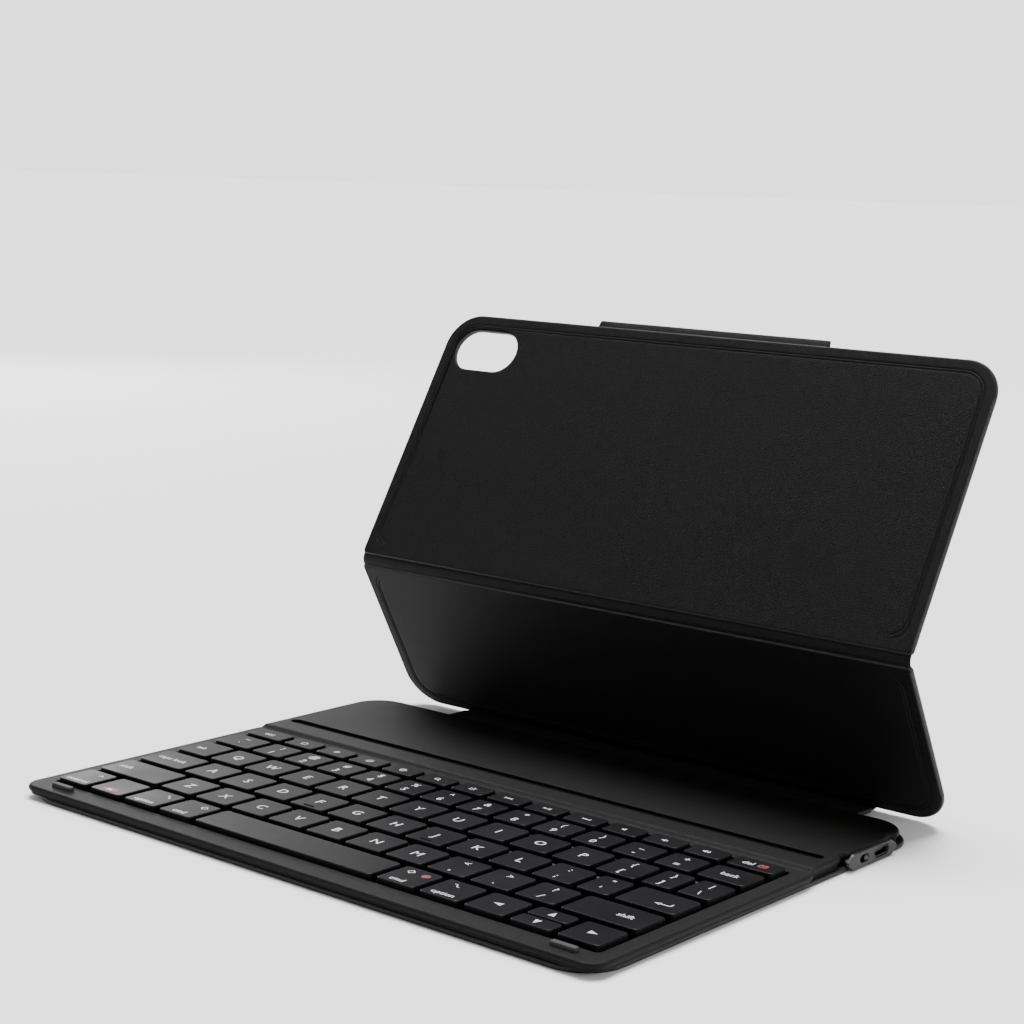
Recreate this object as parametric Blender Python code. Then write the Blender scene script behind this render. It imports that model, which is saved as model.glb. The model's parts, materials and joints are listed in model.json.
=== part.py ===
"""Tablet keyboard case: a thin keyboard base, a spine strip and a folding cover with a closure flap.

The case stands open. X runs along its width, +Y points away from the typist and +Z up. The origin is the
middle of the base's underside, so the case stands on the plane z = 0. All lengths are in metres.
"""
import math

import bmesh
import bpy
from mathutils import Matrix, Vector

MM = 0.001

# Base: outline, corner radius and levels.
BASE_WIDTH = 250.8 * MM
BASE_DEPTH = 187.0 * MM
BASE_CORNER = 15.0 * MM
SKIN_INSET = 0.9 * MM
SKIN_TOP = 0.5 * MM
BOARD_BOTTOM = 0.7 * MM
BOARD_TOP = 1.4 * MM
CASE_BOTTOM = 1.7 * MM
DECK_TOP = 4.7 * MM
DECK_WIDTH = 253.0 * MM
DECK_FRONT = -93.7 * MM
DECK_CORNER = 6.5 * MM
DECK_UNDERCUT = 0.9 * MM

# Raised housing behind the keys, with the groove that holds the tablet's lower edge.
PLATEAU_TOP = 5.95 * MM
PLATEAU_WIDTH = 248.4 * MM
PLATEAU_FRONT = 21.8 * MM
PLATEAU_REAR = 89.0 * MM
PLATEAU_CORNER = 13.0 * MM
STEP_RUN = 2.4 * MM
GROOVE_Y = 35.4 * MM
GROOVE_WIDTH = 4.4 * MM
GROOVE_HALF_LENGTH = 121.5 * MM
GROOVE_DEPTH = 1.2 * MM
HOUSING_WALL = 3.0 * MM
HOUSING_ROOF = 1.05 * MM
GROOVE_FLOOR = 0.9 * MM
CORNER_KEEPER = 9.0 * MM
CASE_SQUARE_CORNER = 0.5 * MM
CUT_PAST = 1.0 * MM

# Edge of the deck: inset from its outline, and level.
DECK_EDGE = (
    (DECK_UNDERCUT, CASE_BOTTOM),
    (DECK_UNDERCUT, CASE_BOTTOM + 1.0 * MM),
    (0.2 * MM, DECK_TOP - 1.3 * MM),
    (0.0, DECK_TOP - 0.5 * MM),
    (0.5 * MM, DECK_TOP),
)

# Edge of the housing: inset from its outline, where its front face stands, and level.
HOUSING_EDGE = (
    (0.4 * MM, PLATEAU_FRONT, CASE_BOTTOM),
    (0.0, PLATEAU_FRONT, DECK_TOP - 0.1 * MM),
    (0.0, PLATEAU_FRONT + 0.6 * STEP_RUN, PLATEAU_TOP - 0.45 * MM),
    (0.45 * MM, PLATEAU_FRONT + STEP_RUN, PLATEAU_TOP),
)

# Key field: one column gap for all rows, so that only the row starts and the odd widths differ.
FIELD_HALF = 119.3 * MM
KEY_WIDTH = 15.33 * MM
SMALL_KEY_WIDTH = 14.29 * MM
COLUMN_GAP = 2.43 * MM
KEY_DEPTH = 15.6 * MM
ROW_PITCH = 18.62 * MM
FRONT_ROW_Y = -83.2 * MM
NUMBER_ROW_Y = -8.8 * MM
NUMBER_ROW_DEPTH = 13.65 * MM
FUNCTION_ROW_Y = 7.9 * MM
FUNCTION_ROW_DEPTH = 9.4 * MM
SPACE_WIDTH = 79.7 * MM
ARROW_SPLIT = 0.7 * MM
KEY_BOTTOM = 3.7 * MM
KEY_TOP = 6.2 * MM
KEY_CORNER = 1.2 * MM
KEY_BEVEL = 0.4 * MM
WEB_TOP = 4.1 * MM
WELL_MARGIN = 0.9 * MM
WELL_CORNER = 1.6 * MM
FIRST_KEY_WIDTHS = {"q": 14.87 * MM, "a": 21.47 * MM, "z": 29.87 * MM}
BRACKET_WIDTH = 11.1 * MM
QUOTE_WIDTH = 12.2 * MM
EDGE_KEY_WIDTH = 17.57 * MM
CONTROL_WIDTH = 14.4 * MM
WEB_INSET = 3.0 * MM
WEB_HALF_WIDTH = 2.0 * MM
THIN_WEB_HALF_WIDTH = 1.5 * MM
LEFT_UPRIGHT = (-117.0 * MM, -113.0 * MM)
RIGHT_UPRIGHT = (112.0 * MM, 116.0 * MM)

# Pieces inside the base: levels of the thin sheets, and the lowest and highest corners of the others.
CUT_BELOW = 1.0 * MM
PLATE_LEVELS = (1.6 * MM, 2.0 * MM)
PLATE_INSET = 0.5 * MM
MEMBRANE_LEVELS = (2.2 * MM, 2.4 * MM)
BATTERY_BOX = ((-60 * MM, 44 * MM, 1.8 * MM), (60 * MM, 82 * MM, 4.5 * MM))
CONTROL_BOARD_BOX = ((90 * MM, 46 * MM, 1.9 * MM), (118.6 * MM, 74 * MM, 2.7 * MM))
GROOVE_MAGNET_HALF_LENGTH = 100 * MM
GROOVE_MAGNET_LEVELS = (2.0 * MM, 3.5 * MM)
CLOSURE_PLATE_BOX = ((-45.5 * MM, -91.3 * MM, 1.8 * MM), (45.5 * MM, -86.7 * MM, 2.9 * MM))
CLOSURE_POCKET_BOX = ((-46 * MM, -91.6 * MM, CUT_BELOW), (46 * MM, -86.4 * MM, 3.2 * MM))

# Rubber pads on the deck, one at each end of the front row.
BUMPER_X = 110.8 * MM
BUMPER_Y = -87.8 * MM
BUMPER_LENGTH = 9.8 * MM
BUMPER_WIDTH = 2.6 * MM
BUMPER_HEIGHT = 1.2 * MM
BUMPER_CORNER = 0.9 * MM
BUMPER_BEVEL = 0.3 * MM
BUMPER_GAP = 0.2 * MM

# Right-hand end cap with the charging port and the power switch.
CAP_Y = 58.6 * MM
CAP_OUTER_X = 127.0 * MM
CAP_STEP_X = 125.7 * MM
CAP_INNER_X = 124.4 * MM
CAP_HALF_LENGTH = 16.3 * MM
CAP_HALF_FLAT = 12.4 * MM
CAP_BOTTOM = 0.15 * MM
CAP_TOP = 5.75 * MM
CAP_BEVEL = 0.3 * MM
CAP_INNER_DROP = 0.3 * MM
CAP_INNER_INSET = 1.5 * MM
CAP_INNER_FLAT_INSET = 0.5 * MM
PORT_Y = 64.2 * MM
PORT_Z = 3.2 * MM
PORT_WIDTH = 8.7 * MM
PORT_HEIGHT = 3.0 * MM
SWITCH_SLOT_Y = 53.0 * MM
SWITCH_SLOT_LENGTH = 5.2 * MM
SWITCH_KNOB_LENGTH = 2.2 * MM
SWITCH_SLOT_HEIGHT = 2.4 * MM
SWITCH_TRAVEL = 2.2 * MM
SWITCH_KNOB_X = 126.6 * MM
SWITCH_FLANGE_HALF = (2.4 * MM, 1.3 * MM)
SWITCH_STEM_HALF_HEIGHT = 0.9 * MM
SWITCH_FLANGE_INNER = -3.6 * MM
SWITCH_FLANGE_OUTER = -2.6 * MM
SWITCH_TIP = 0.5 * MM
SWITCH_BEVEL = 0.3 * MM
SWITCH_CORNER = 0.8 * MM
SWITCH_FLANGE_CORNER = 0.3 * MM
PORT_FIT = 0.4 * MM
PORT_INNER_X = 119.2 * MM
PORT_OUTER_X = 126.6 * MM
PORT_BORE_X = 120.4 * MM
PORT_WALL = 0.3 * MM
PORT_TONGUE = (3.35 * MM, 0.35 * MM, 125.4 * MM)
CUT_INNER_X = 118.0 * MM
CUT_OUTER_X = 130.0 * MM
PORT_WINDOW_HALF = 13.5 * MM
PORT_WINDOW_TOP = 5.0 * MM

# Cover: fold axes in the YZ plane, panel angles above +Y, thickness from lining to outer skin.
SPINE_AXIS = (98.76 * MM, 0.95 * MM)
COVER_AXIS = (113.54 * MM, 2.0 * MM)
MIDDLE_AXIS = (77.47 * MM, 65.5 * MM)
LOWER_ANGLE = math.radians(120.2)
UPPER_ANGLE = math.radians(60.2)
PANEL_WIDTH = 252.0 * MM
PANEL_CORNER = 14.5 * MM
PANEL_HALF_THICKNESS = 1.25 * MM
SKIN_THICKNESS = 0.5 * MM
LAYER_GAP = 0.2 * MM
LOWER_START = -1.0 * MM
LOWER_END = 71.0 * MM
UPPER_START = 2.0 * MM
UPPER_END = 112.7 * MM
COVER_AXIS_OFFSET = 0.75 * MM
BOARD_INSET = 0.4 * MM
FOLD_CORNER = 2.0 * MM
MAGNET_HALF_WIDTH = 80.0 * MM
MAGNET_START = 25.0 * MM
MAGNET_END = 75.0 * MM
MAGNET_THICKNESS = 0.6 * MM
MAGNET_FIT = 0.3 * MM
SPINE_WIDTH = 193.0 * MM
SPINE_START = 1.4 * MM
SPINE_LENGTH = 11.3 * MM
SPINE_SKIN_LEVELS = (0.05 * MM, 0.5 * MM)
SPINE_STIFFENER_LEVELS = (0.7 * MM, 1.2 * MM)
SPINE_LINING_LEVELS = (1.4 * MM, 1.85 * MM)
SPINE_STIFFENER_INSET = 1.0 * MM

# Camera window near the free edge, and the closure flap on that edge.
WINDOW_X = -103.5 * MM
WINDOW_S = 96.7 * MM
WINDOW_LENGTH = 32.0 * MM
WINDOW_HEIGHT = 18.0 * MM
WINDOW_CUT = 4.0 * MM
FLAP_WIDTH = 106.0 * MM
FLAP_ROOT_S = 114.3 * MM
FLAP_ROOT_N = 1.0 * MM
FLAP_START = 1.6 * MM
FLAP_STRIP_LENGTH = 15.0 * MM
FLAP_TAB_LENGTH = 20.0 * MM
FLAP_FOLD_GAP = 1.3 * MM
FLAP_NEAR_FACE = 1.55 * MM
FLAP_STRIP_THICKNESS = 0.9 * MM
FLAP_TAB_THICKNESS = 1.7 * MM
FLAP_CORNER = 5.0 * MM
FLAP_FOLD_CORNER = 0.5 * MM
FLAP_MAGNET_HALF_WIDTH = 40.0 * MM
FLAP_MAGNET_START = -17.0 * MM
FLAP_MAGNET_END = -7.0 * MM
FLAP_MAGNET_THICKNESS = 0.8 * MM

BLACK_LEATHER = (0.016, 0.016, 0.016)
BLACK_PLASTIC = (0.020, 0.020, 0.020)
DARK_PLASTIC = (0.035, 0.036, 0.036)
GREY_BOARD = (0.16, 0.15, 0.14)
STEEL = (0.42, 0.42, 0.43)
BLACK_RUBBER = (0.010, 0.010, 0.010)
KEY_BLACK = (0.014, 0.014, 0.018)


# ---------------------------------------------------------------- helpers

def clear_scene():
    """Remove every object that the start-up file holds."""
    for old in list(bpy.data.objects):
        bpy.data.objects.remove(old, do_unlink=True)


def make_material(name, colour, roughness, metallic=0.0):
    """Return a Principled BSDF material."""
    material = bpy.data.materials.new(name)
    material.use_nodes = True
    shader = material.node_tree.nodes["Principled BSDF"]
    shader.inputs["Base Color"].default_value = (*colour, 1.0)
    shader.inputs["Roughness"].default_value = roughness
    shader.inputs["Metallic"].default_value = metallic
    material.diffuse_color = (*colour, 1.0)
    return material


def arc(centre, radius, start_deg, end_deg, steps):
    """Points on an arc, both ends included, anticlockwise when end_deg is the larger."""
    points = []
    for index in range(steps + 1):
        angle = math.radians(start_deg + (end_deg - start_deg) * index / steps)
        points.append((centre[0] + radius * math.cos(angle), centre[1] + radius * math.sin(angle)))
    return points


def rounded_rectangle(x0, y0, x1, y1, radii, steps=4):
    """Anticlockwise outline; radii are the front-left, front-right, rear-right and rear-left corners."""
    front_left, front_right, rear_right, rear_left = radii
    return (
        arc((x0 + front_left, y0 + front_left), front_left, 180, 270, steps)
        + arc((x1 - front_right, y0 + front_right), front_right, 270, 360, steps)
        + arc((x1 - rear_right, y1 - rear_right), rear_right, 0, 90, steps)
        + arc((x0 + rear_left, y1 - rear_left), rear_left, 90, 180, steps)
    )


def centred_slot(x, y, length, height, steps=6):
    """Outline of a slot with round ends, its length along the first axis."""
    half = height / 2
    return (
        arc((x + length / 2 - half, y), half, -90, 90, steps)
        + arc((x - length / 2 + half, y), half, 90, 270, steps)
    )


def add_stack(mesh, layers, to_world):
    """Add one closed body to a bmesh: outlines of equal length joined level by level, ends capped."""
    rings = []
    for outline, level in layers:
        rings.append([mesh.verts.new(to_world(u, v, level)) for u, v in outline])
    count = len(rings[0])
    mesh.faces.new(list(reversed(rings[0])))
    for below, above in zip(rings, rings[1:]):
        for index in range(count):
            following = (index + 1) % count
            mesh.faces.new((below[index], below[following], above[following], above[index]))
    mesh.faces.new(rings[-1])


def along_z(u, v, level):
    """Outline in XY, levels along Z."""
    return Vector((u, v, level))


def along_x(u, v, level):
    """Outline in YZ, levels along X."""
    return Vector((level, u, v))


def new_object(name, mesh_data, material, parent=None, location=(0, 0, 0)):
    """Link a mesh object, with a material and its place under its parent."""
    part = bpy.data.objects.new(name, mesh_data)
    bpy.context.scene.collection.objects.link(part)
    if material is not None:
        mesh_data.materials.append(material)
    part.parent = parent
    part.location = location
    return part


def stack_object(name, layers, material, parent=None, location=(0, 0, 0), to_world=along_z):
    """One object from stacked outlines."""
    mesh = bmesh.new()
    add_stack(mesh, layers, to_world)
    bmesh.ops.recalc_face_normals(mesh, faces=mesh.faces)
    mesh_data = bpy.data.meshes.new(name)
    mesh.to_mesh(mesh_data)
    mesh.free()
    return new_object(name, mesh_data, material, parent, location)


def box_object(name, low, high, material, parent=None, location=(0, 0, 0)):
    """One box from its lowest and highest corners."""
    outline = [(low[0], low[1]), (high[0], low[1]), (high[0], high[1]), (low[0], high[1])]
    return stack_object(name, [(outline, low[2]), (outline, high[2])], material, parent, location)


def hide_as_tool(tool):
    """Mark an object as a Boolean operand, which is not a piece of the case."""
    tool.hide_render = True
    tool.display_type = 'WIRE'
    return tool


def combine(part, tool, operation):
    """Apply a hidden operand to a part."""
    hide_as_tool(tool)
    modifier = part.modifiers.new(operation.lower(), 'BOOLEAN')
    modifier.operation = operation
    modifier.solver = 'EXACT'
    modifier.object = tool


def pivot(name, y, z, angle, parent=None):
    """Empty on a fold axis. Its local Y runs along the piece that folds there."""
    empty = bpy.data.objects.new(name, None)
    bpy.context.scene.collection.objects.link(empty)
    empty.matrix_world = Matrix.Translation((0, y, z)) @ Matrix.Rotation(angle, 4, 'X')
    empty.parent = parent
    return empty


# ---------------------------------------------------------------- base

def base_skin_outline():
    """Rounded base outline with the tongue that runs back to the spine."""
    half_x = BASE_WIDTH / 2 - SKIN_INSET
    half_y = BASE_DEPTH / 2 - SKIN_INSET
    corner = BASE_CORNER - SKIN_INSET
    tongue = SPINE_WIDTH / 2
    tongue_end = SPINE_AXIS[0] - SPINE_START
    return (
        arc((-half_x + corner, -half_y + corner), corner, 180, 270, 6)
        + arc((half_x - corner, -half_y + corner), corner, 270, 360, 6)
        + arc((half_x - corner, half_y - corner), corner, 0, 90, 6)
        + [(tongue, half_y), (tongue, tongue_end), (-tongue, tongue_end), (-tongue, half_y)]
        + arc((-half_x + corner, half_y - corner), corner, 90, 180, 6)
    )


def build_bottom(leather, board):
    """Outer skin that lies on the table, and the stiff board on it."""
    outline = base_skin_outline()
    stack_object("base_outer_skin", [(outline, 0.0), (outline, SKIN_TOP)], leather)
    half_x = BASE_WIDTH / 2
    half_y = BASE_DEPTH / 2
    outline = rounded_rectangle(-half_x, -half_y, half_x, half_y, [BASE_CORNER] * 4, 6)
    stack_object("base_board", [(outline, BOARD_BOTTOM), (outline, BOARD_TOP)], board)


def deck_layer(inset):
    """Deck outline, which ends under the raised housing."""
    half_x = DECK_WIDTH / 2 - inset
    corner = DECK_CORNER - inset
    front = DECK_FRONT + inset
    rear = GROOVE_Y - GROOVE_WIDTH
    square = CASE_SQUARE_CORNER
    return rounded_rectangle(-half_x, front, half_x, rear, [corner, corner, square, square], 6)


def plateau_layer(inset, front):
    """Housing outline with rounded rear corners."""
    half_x = PLATEAU_WIDTH / 2 - inset
    corner = PLATEAU_CORNER - inset
    rear = PLATEAU_REAR - inset
    square = CASE_SQUARE_CORNER
    return rounded_rectangle(-half_x, front, half_x, rear, [square, square, corner, corner], 6)


def build_top_case(plastic):
    """Deck with the key well, joined to the raised housing, hollow underneath."""
    deck_layers = [(deck_layer(inset), level) for inset, level in DECK_EDGE]
    case = stack_object("top_case", deck_layers, plastic)
    housing_layers = [(plateau_layer(inset, front), level) for inset, front, level in HOUSING_EDGE]
    housing = stack_object("housing_block", housing_layers, None)
    combine(case, housing, 'UNION')
    combine(case, key_well_cutter(), 'DIFFERENCE')
    groove = centred_slot(0, GROOVE_Y, 2 * GROOVE_HALF_LENGTH, GROOVE_WIDTH)
    groove_cutter = stack_object("groove_cutter", [
        (groove, PLATEAU_TOP - GROOVE_DEPTH),
        (groove, PLATEAU_TOP + CUT_PAST),
    ], None)
    combine(case, groove_cutter, 'DIFFERENCE')
    combine(case, housing_cavity_cutter(), 'DIFFERENCE')
    window_low = (CUT_INNER_X, CAP_Y - PORT_WINDOW_HALF, CUT_BELOW)
    window_high = (CUT_OUTER_X, CAP_Y + PORT_WINDOW_HALF, PORT_WINDOW_TOP)
    combine(case, box_object("port_window_cutter", window_low, window_high, None), 'DIFFERENCE')
    combine(case, box_object("closure_pocket_cutter", *CLOSURE_POCKET_BOX, None), 'DIFFERENCE')


def well_bounds():
    """Front and rear sides of the key well."""
    return FRONT_ROW_Y - WELL_MARGIN, FUNCTION_ROW_Y + FUNCTION_ROW_DEPTH + WELL_MARGIN


def key_well_cutter():
    """Opening in the deck for the key field."""
    front, rear = well_bounds()
    half_x = FIELD_HALF + WELL_MARGIN
    outline = rounded_rectangle(-half_x, front, half_x, rear, [WELL_CORNER] * 4, 3)
    return stack_object("key_well_cutter", [(outline, CUT_BELOW), (outline, DECK_TOP + CUT_PAST)], None)


def housing_cavity_cutter():
    """Hollow under the housing, lower beneath the groove."""
    half_x = PLATEAU_WIDTH / 2 - HOUSING_WALL
    front = PLATEAU_FRONT + STEP_RUN + HOUSING_WALL
    rear = PLATEAU_REAR - HOUSING_WALL
    behind_groove = GROOVE_Y + GROOVE_WIDTH / 2 + HOUSING_WALL / 2
    low = PLATEAU_TOP - GROOVE_DEPTH - GROOVE_FLOOR
    high = PLATEAU_TOP - HOUSING_ROOF
    profile = [
        (front, CUT_BELOW),
        (rear, CUT_BELOW),
        (rear, high),
        (behind_groove, high),
        (behind_groove, low),
        (front, low),
    ]
    ends = [(profile, -half_x), (profile, half_x)]
    cutter = stack_object("cavity_cutter", ends, None, to_world=along_x)
    for side in (-1, 1):
        corner = [
            (side * half_x, rear),
            (side * (half_x - CORNER_KEEPER), rear),
            (side * half_x, rear - CORNER_KEEPER),
        ]
        wedge = stack_object(f"corner_keeper_{side + 1}", [(corner, 0.0), (corner, PLATEAU_TOP)], None)
        combine(cutter, wedge, 'DIFFERENCE')
    return cutter


def build_base_inside(plastic, steel, board):
    """Key plate, switch membrane, battery, control board, groove magnet and closure plate."""
    front, rear = well_bounds()
    half_x = FIELD_HALF + WELL_MARGIN - PLATE_INSET
    outline = rectangle(-half_x, front + PLATE_INSET, half_x, rear - PLATE_INSET)
    stack_object("key_plate", [(outline, level) for level in PLATE_LEVELS], steel)
    stack_object("membrane", [(outline, level) for level in MEMBRANE_LEVELS], plastic)
    box_object("battery", *BATTERY_BOX, steel)
    box_object("control_board", *CONTROL_BOARD_BOX, board)
    half_width = GROOVE_WIDTH / 2
    outline = rectangle(-GROOVE_MAGNET_HALF_LENGTH, GROOVE_Y - half_width,
                        GROOVE_MAGNET_HALF_LENGTH, GROOVE_Y + half_width)
    stack_object("groove_magnet", [(outline, level) for level in GROOVE_MAGNET_LEVELS], steel)
    box_object("closure_plate", *CLOSURE_PLATE_BOX, steel)


def build_bumpers(rubber):
    """Two rubber pads on the deck that keep the tablet's glass off the keys."""
    half_x = BUMPER_LENGTH / 2
    half_y = BUMPER_WIDTH / 2
    bevel = BUMPER_BEVEL
    low = rounded_rectangle(-half_x, -half_y, half_x, half_y, [BUMPER_CORNER] * 4, 3)
    top = rounded_rectangle(-half_x + bevel, -half_y + bevel, half_x - bevel, half_y - bevel,
                            [BUMPER_CORNER - bevel] * 4, 3)
    for name, x in (("bumper_left", -BUMPER_X), ("bumper_right", BUMPER_X)):
        stack_object(name, [(low, 0.0), (low, BUMPER_HEIGHT - bevel), (top, BUMPER_HEIGHT)], rubber,
                     location=(x, BUMPER_Y, DECK_TOP + BUMPER_GAP))


# ---------------------------------------------------------------- end cap, port and switch

def cap_outline(bottom, top, half_length, half_flat):
    """Six-sided outline in YZ: flat top and bottom, pointed ends."""
    middle = (bottom + top) / 2
    return [
        (CAP_Y - half_flat, bottom),
        (CAP_Y + half_flat, bottom),
        (CAP_Y + half_length, middle),
        (CAP_Y + half_flat, top),
        (CAP_Y - half_flat, top),
        (CAP_Y - half_length, middle),
    ]


def build_end_cap(plastic):
    """Plastic cap with the port hole and the switch slot."""
    bevel = CAP_BEVEL
    inner = cap_outline(CASE_BOTTOM, CAP_TOP - CAP_INNER_DROP, CAP_HALF_LENGTH - CAP_INNER_INSET,
                        CAP_HALF_FLAT - CAP_INNER_FLAT_INSET)
    outer = cap_outline(CAP_BOTTOM, CAP_TOP, CAP_HALF_LENGTH, CAP_HALF_FLAT)
    face = cap_outline(CAP_BOTTOM + bevel, CAP_TOP - bevel, CAP_HALF_LENGTH - bevel,
                       CAP_HALF_FLAT - bevel / 2)
    cap = stack_object("end_cap", [
        (inner, CAP_INNER_X),
        (inner, CAP_STEP_X),
        (outer, CAP_STEP_X),
        (outer, CAP_OUTER_X - bevel),
        (face, CAP_OUTER_X),
    ], plastic, to_world=along_x)
    hole = centred_slot(PORT_Y, PORT_Z, PORT_WIDTH + PORT_FIT, PORT_HEIGHT + PORT_FIT)
    combine(cap, cap_cutter("port_hole_cutter", hole), 'DIFFERENCE')
    slot = centred_slot(SWITCH_SLOT_Y, PORT_Z, SWITCH_SLOT_LENGTH, SWITCH_SLOT_HEIGHT)
    combine(cap, cap_cutter("switch_slot_cutter", slot), 'DIFFERENCE')


def cap_cutter(name, outline):
    """Cutter through the whole thickness of the end cap."""
    ends = [(outline, CUT_INNER_X), (outline, CUT_OUTER_X)]
    return stack_object(name, ends, None, to_world=along_x)


def build_port(steel):
    """Charging receptacle: an open shell with its tongue."""
    shell = centred_slot(PORT_Y, PORT_Z, PORT_WIDTH, PORT_HEIGHT)
    mouth = centred_slot(PORT_Y, PORT_Z, PORT_WIDTH - 2 * PORT_WALL, PORT_HEIGHT - 2 * PORT_WALL)
    shell_ends = [(shell, PORT_INNER_X), (shell, PORT_OUTER_X)]
    port = stack_object("usb_port", shell_ends, steel, to_world=along_x)
    mouth_ends = [(mouth, PORT_BORE_X), (mouth, CUT_OUTER_X)]
    bore = stack_object("port_bore_cutter", mouth_ends, None, to_world=along_x)
    half_width, half_height, tip = PORT_TONGUE
    tongue = box_object("port_tongue_keeper", (PORT_INNER_X, PORT_Y - half_width, PORT_Z - half_height),
                        (tip, PORT_Y + half_width, PORT_Z + half_height), None)
    combine(bore, tongue, 'DIFFERENCE')
    combine(port, bore, 'DIFFERENCE')


def build_switch(plastic):
    """Power switch knob, at the rear end of its slot, with the flange that holds it in."""
    knob_y = SWITCH_SLOT_Y + SWITCH_TRAVEL / 2
    half = SWITCH_KNOB_LENGTH / 2
    height = SWITCH_STEM_HALF_HEIGHT
    bevel = SWITCH_BEVEL
    face_corner = SWITCH_CORNER - bevel
    flange_y, flange_z = SWITCH_FLANGE_HALF
    flange = rounded_rectangle(-flange_y, -flange_z, flange_y, flange_z, [SWITCH_FLANGE_CORNER] * 4, 3)
    stem = rounded_rectangle(-half, -height, half, height, [SWITCH_CORNER] * 4, 3)
    face = rounded_rectangle(-half + bevel, -height + bevel, half - bevel, height - bevel,
                             [face_corner] * 4, 3)
    stack_object("power_switch", [
        (flange, SWITCH_FLANGE_INNER),
        (flange, SWITCH_FLANGE_OUTER),
        (stem, SWITCH_FLANGE_OUTER),
        (stem, SWITCH_TIP - bevel),
        (face, SWITCH_TIP),
    ], plastic, location=(SWITCH_KNOB_X, knob_y, PORT_Z), to_world=along_x)


# ---------------------------------------------------------------- keys

def row_front(row):
    """Front edge of a row: 0 is the space bar's row, 1 to 3 the letter rows, 4 numbers, 5 functions."""
    if row == 5:
        return FUNCTION_ROW_Y
    if row == 4:
        return NUMBER_ROW_Y
    return FRONT_ROW_Y + row * ROW_PITCH


def row_depth(row):
    """Depth of the keys of a row."""
    if row == 5:
        return FUNCTION_ROW_DEPTH
    if row == 4:
        return NUMBER_ROW_DEPTH
    return KEY_DEPTH


def place_row(row, widths):
    """Spread keys from the left side of the field. The last key runs to the right side."""
    cells = []
    left = -FIELD_HALF
    front = row_front(row)
    for index, width in enumerate(widths):
        right = left + width
        if index == len(widths) - 1:
            right = FIELD_HALF
        cells.append((left, front, right, front + row_depth(row)))
        left = right + COLUMN_GAP
    return cells


def key_layers(cell):
    """Outlines of one keycap with a small bevel round its top."""
    x0, y0, x1, y1 = cell
    outline = rounded_rectangle(x0, y0, x1, y1, [KEY_CORNER] * 4, 2)
    inner_corner = KEY_CORNER - KEY_BEVEL / 2
    top = rounded_rectangle(x0 + KEY_BEVEL, y0 + KEY_BEVEL, x1 - KEY_BEVEL, y1 - KEY_BEVEL,
                            [inner_corner] * 4, 2)
    return [(outline, KEY_BOTTOM), (outline, KEY_TOP - KEY_BEVEL), (top, KEY_TOP)]


def build_single_key(name, cell, material):
    """A keycap with its origin on its own travel axis."""
    x0, y0, x1, y1 = cell
    centre_x = (x0 + x1) / 2
    centre_y = (y0 + y1) / 2
    local = (x0 - centre_x, y0 - centre_y, x1 - centre_x, y1 - centre_y)
    stack_object(name, key_layers(local), material, location=(centre_x, centre_y, 0))


def build_key_bank(name, cells, web_outline, material):
    """Keycaps joined by a thin web that lies below the deck's top."""
    bank = stack_object(name, [(web_outline, KEY_BOTTOM), (web_outline, WEB_TOP)], material)
    mesh = bmesh.new()
    for cell in cells:
        add_stack(mesh, key_layers(cell), along_z)
    mesh_data = bpy.data.meshes.new(f"{name}_caps")
    mesh.to_mesh(mesh_data)
    mesh.free()
    caps = new_object(f"{name}_caps", mesh_data, None)
    combine(bank, caps, 'UNION')


def strip(cells, half_width):
    """Outline of a web that runs along a row, through the middle of its keys."""
    middle = row_middle(cells)
    left = cells[0][0] + WEB_INSET
    right = cells[-1][2] - WEB_INSET
    return rectangle(left, middle - half_width, right, middle + half_width)


def rectangle(x0, y0, x1, y1):
    """Anticlockwise rectangle."""
    return [(x0, y0), (x1, y0), (x1, y1), (x0, y1)]


def comb_outline(rows, spine_x0, spine_x1, half_width):
    """Web for several rows that share an upright at their right end."""
    points = [
        (spine_x1, row_middle(rows[0]) - half_width),
        (spine_x1, row_middle(rows[-1]) + half_width),
    ]
    for cells in reversed(rows):
        middle = row_middle(cells)
        tip = cells[0][0] + WEB_INSET
        points += [
            (spine_x0, middle + half_width),
            (tip, middle + half_width),
            (tip, middle - half_width),
            (spine_x0, middle - half_width),
        ]
    return points[:2] + points[3:-1]


def row_middle(cells):
    """Middle of a row in Y."""
    return (cells[0][1] + cells[0][3]) / 2


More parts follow.
